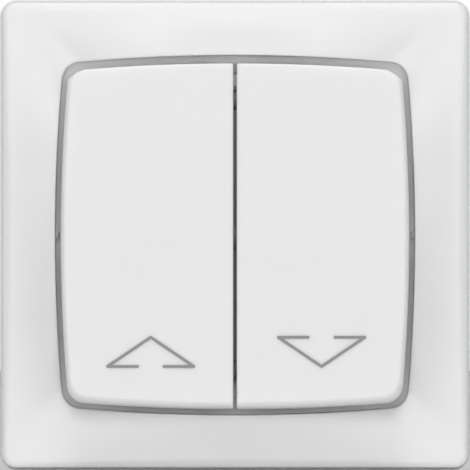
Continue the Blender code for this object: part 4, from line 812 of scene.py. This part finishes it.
def matt_plastic(name, colour, roughness=0.5, flow=0.05):
    """Filled moulding compound: faint flow marks along the mould, speckled, edges slightly
    round."""
    finish = Finish(name)
    marks = finish.noise(per_metre=160.0, detail=4.0, stretch=(1.0, 0.35, 1.0))
    speckle = finish.noise(per_metre=2600.0, detail=2.0)
    light = tuple(min(1.0, value * (1 + flow)) for value in colour)
    dark = tuple(value * (1 - flow) for value in colour)
    finish.set(
        Base_Color=finish.blend(marks, dark, light),
        Roughness=spread_about(middle=roughness, spread=0.14, pattern=speckle),
        Normal=finish.bump(speckle, distance=0.012 * MM, strength=0.5, edge=0.18 * MM),
    )
    return finish.material


def plated_steel(name, colours, roughness, grain_stretch=(1.0, 1.0, 1.0), edge=0.12 * MM):
    """Rolled and plated metal: clouds of a second tint, streaks along the rolling direction."""
    finish = Finish(name)
    clouds = finish.noise(per_metre=240.0, detail=5.0, roughness=0.6)
    streaks = finish.noise(per_metre=2200.0, detail=3.0, stretch=grain_stretch)
    smoothest = roughness - (STREAK_ROUGHNESS + CLOUD_ROUGHNESS) / 2
    finish.set(
        Base_Color=finish.blend(clouds, *colours),
        Metallic=1.0,
        Roughness=streaks * STREAK_ROUGHNESS + clouds * CLOUD_ROUGHNESS + smoothest,
        Normal=finish.bump(streaks, distance=0.006 * MM, strength=0.5, edge=edge),
    )
    return finish.material


def arrow_ink(name):
    """Pad-printed grey ink, slightly uneven in cover."""
    finish = Finish(name)
    cover = finish.noise(per_metre=3800.0, detail=3.0)
    finish.set(
        Base_Color=finish.blend(cover, *INK_GREYS),
        Roughness=spread_about(middle=0.47, spread=0.1, pattern=cover),
        Normal=finish.bump(cover, distance=0.003 * MM, strength=0.4),
    )
    return finish.material


def dress(piece, material, slot, body, *nodes):
    """Gives a new piece its finish, its body and the CAD nodes it stands for. The record's slot is
    not used."""
    piece.data.materials.clear()
    piece.data.materials.append(material)
    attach(piece, body)
    if nodes:
        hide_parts(*nodes)


def paint_nodes(names, material):
    """Gives CAD nodes that keep their own shape a finish."""
    for name in names:
        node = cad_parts[name]
        node.data.materials.clear()
        node.data.materials.append(material)


def make_switch():
    """Makes each piece that the solids leave plainer, and finishes the CAD nodes that stay."""
    frame_white = white_plastic("white_plastic", FRAME_WHITE)
    # The rockers get a copy of the white plastic that is darkened by painted shade
    rocker_white_painted_shade = white_plastic("rocker_white_painted_shade", ROCKER_WHITE_PAINTED_SHADE)
    ink = arrow_ink("arrow_ink")
    grey = matt_plastic("grey_plastic", HOUSING_GREY)
    nylon = matt_plastic("natural_nylon", PLUNGER_NYLON, roughness=0.42, flow=0.03)
    orange = matt_plastic("orange_plastic", BUTTON_ORANGE, roughness=0.38)
    zinc = plated_steel("zinc_plated_steel", RING_ZINC, 0.5, grain_stretch=(1.0, 1.0, 0.12))
    screw_zinc = plated_steel("screw_zinc", SCREW_ZINC, 0.42, edge=0.0)
    # The rivets get a copy of the zinc plating that is darkened by painted shade
    painted_shade_zinc = plated_steel("painted_shade_zinc", RIVET_ZINC_PAINTED_SHADE, 0.6, edge=0.0)
    spring = plated_steel("spring_steel", SPRING_STEEL, 0.26)
    brass = plated_steel("brass", TERMINAL_BRASS, 0.3)
    silver = plated_steel("silver", CONTACT_SILVER, 0.26)

    dress(make_frame_shell(), frame_white, "white_plastic", "insert", "cover_frame")
    for arm in make_latch_arms():
        dress(arm, frame_white, "white_plastic", "insert")
    for word, side in LEFT_AND_RIGHT:
        body = f"{word}_rocker_unit"
        cap = make_rocker_cap(word, side)
        dress(cap, rocker_white_painted_shade, "white_plastic", body, f"{word}_rocker")
        for peg in make_pegs(word, side):
            dress(peg, rocker_white_painted_shade, "white_plastic", body)
        dress(make_arrow(word, word == "left"), ink, "white_plastic", body)
        screw = make_claw_screw(word, side)
        dress(screw, screw_zinc, "zinc_plated_steel", f"{word}_screw", f"{word}_claw_screw")
    for word, end in LOWER_AND_UPPER:
        rivet = make_rivet(word, end)
        dress(rivet, painted_shade_zinc, "zinc_plated_steel", "insert", f"{word}_rivet")

    sides = [word for word, _ in LEFT_AND_RIGHT]
    cells = ("up", "down", "supply", "loop")
    paint_nodes(["insert_base", "insert_cover", *(f"{side}_carrier" for side in sides)], grey)
    paint_nodes([f"{side}_plunger" for side in sides], nylon)
    paint_nodes([f"{cell}_release_button" for cell in cells], orange)
    paint_nodes(["mounting_ring", *(f"{side}_claw" for side in sides)], zinc)
    paint_nodes([f"{side}_claw_nut" for side in sides], zinc)
    paint_nodes([f"{cell}_clamp_spring" for cell in cells], spring)
    paint_nodes([f"{side}_plunger_spring" for side in sides], spring)
    paint_nodes(["common_terminal", "up_terminal", "down_terminal"], brass)
    paint_nodes([f"{side}_contact_bridge" for side in sides], brass)
    for kind in ("moving", "fixed"):
        paint_nodes([f"{side}_{kind}_contact" for side in sides], silver)


def make_floor():
    """A plain pale floor under the switch, slightly uneven in tone."""
    bpy.ops.mesh.primitive_plane_add(size=FLOOR_SIZE, location=(0, 0, FLOOR_HEIGHT))
    floor = bpy.context.object
    floor.name = "floor"
    finish = Finish("pale_floor")
    tone = finish.noise(per_metre=3.0, detail=2.0)
    finish.set(Base_Color=finish.blend(tone, *FLOOR_TONES), Roughness=0.6)
    floor.data.materials.append(finish.material)


def make_lamps():
    """Large soft lamps that face the switch."""
    for name, elevation, azimuth, distance, size, power in LAMPS:
        up, turn = math.radians(elevation), math.radians(azimuth)
        light = bpy.data.lights.new(name, "AREA")
        light.shape = "DISK"
        light.size = size
        light.energy = power
        lamp = bpy.data.objects.new(name, light)
        bpy.context.scene.collection.objects.link(lamp)
        lamp.location = (
            distance * math.cos(up) * math.sin(turn),
            -distance * math.cos(up) * math.cos(turn),
            distance * math.sin(up),
        )
        direction = -lamp.location
        lamp.rotation_euler = direction.to_track_quat("-Z", "Y").to_euler()


def make_world():
    """Even ambient light, and full white for the camera, for reflections and through glass: the
    strength is the ambient level plus what is left to 1 times whether such a ray looks."""
    world = bpy.data.worlds.new("studio")
    bpy.context.scene.world = world
    world.use_nodes = True
    studio = Nodes(world.node_tree)
    camera, glossy, transmission = (
        studio.node("ShaderNodeLightPath", output=f"Is {ray} Ray")
        for ray in ("Camera", "Glossy", "Transmission")
    )
    looks = camera.math("MAXIMUM", glossy).math("MAXIMUM", transmission)
    background = studio.tree.nodes["Background"]
    studio.feed(background.inputs["Color"], (1.0, 1.0, 1.0))
    studio.feed(background.inputs["Strength"], looks * (1 - AMBIENT) + AMBIENT)


def make_camera():
    """Straight in front, far enough away for the view to be almost without perspective."""
    camera = bpy.data.objects.new("camera", bpy.data.cameras.new("camera"))
    bpy.context.scene.collection.objects.link(camera)
    camera.location = (0, -CAMERA_DISTANCE, 0)
    camera.rotation_euler = (math.pi / 2, 0, 0)
    camera.data.lens = LENS
    camera.data.sensor_width = SENSOR_WIDTH
    camera.data.clip_start = VIEW_NEAR
    camera.data.clip_end = VIEW_FAR
    bpy.context.scene.camera = camera


make_switch()
make_floor()
make_lamps()
make_world()
make_camera()
bpy.context.scene.view_settings.view_transform = "Standard"
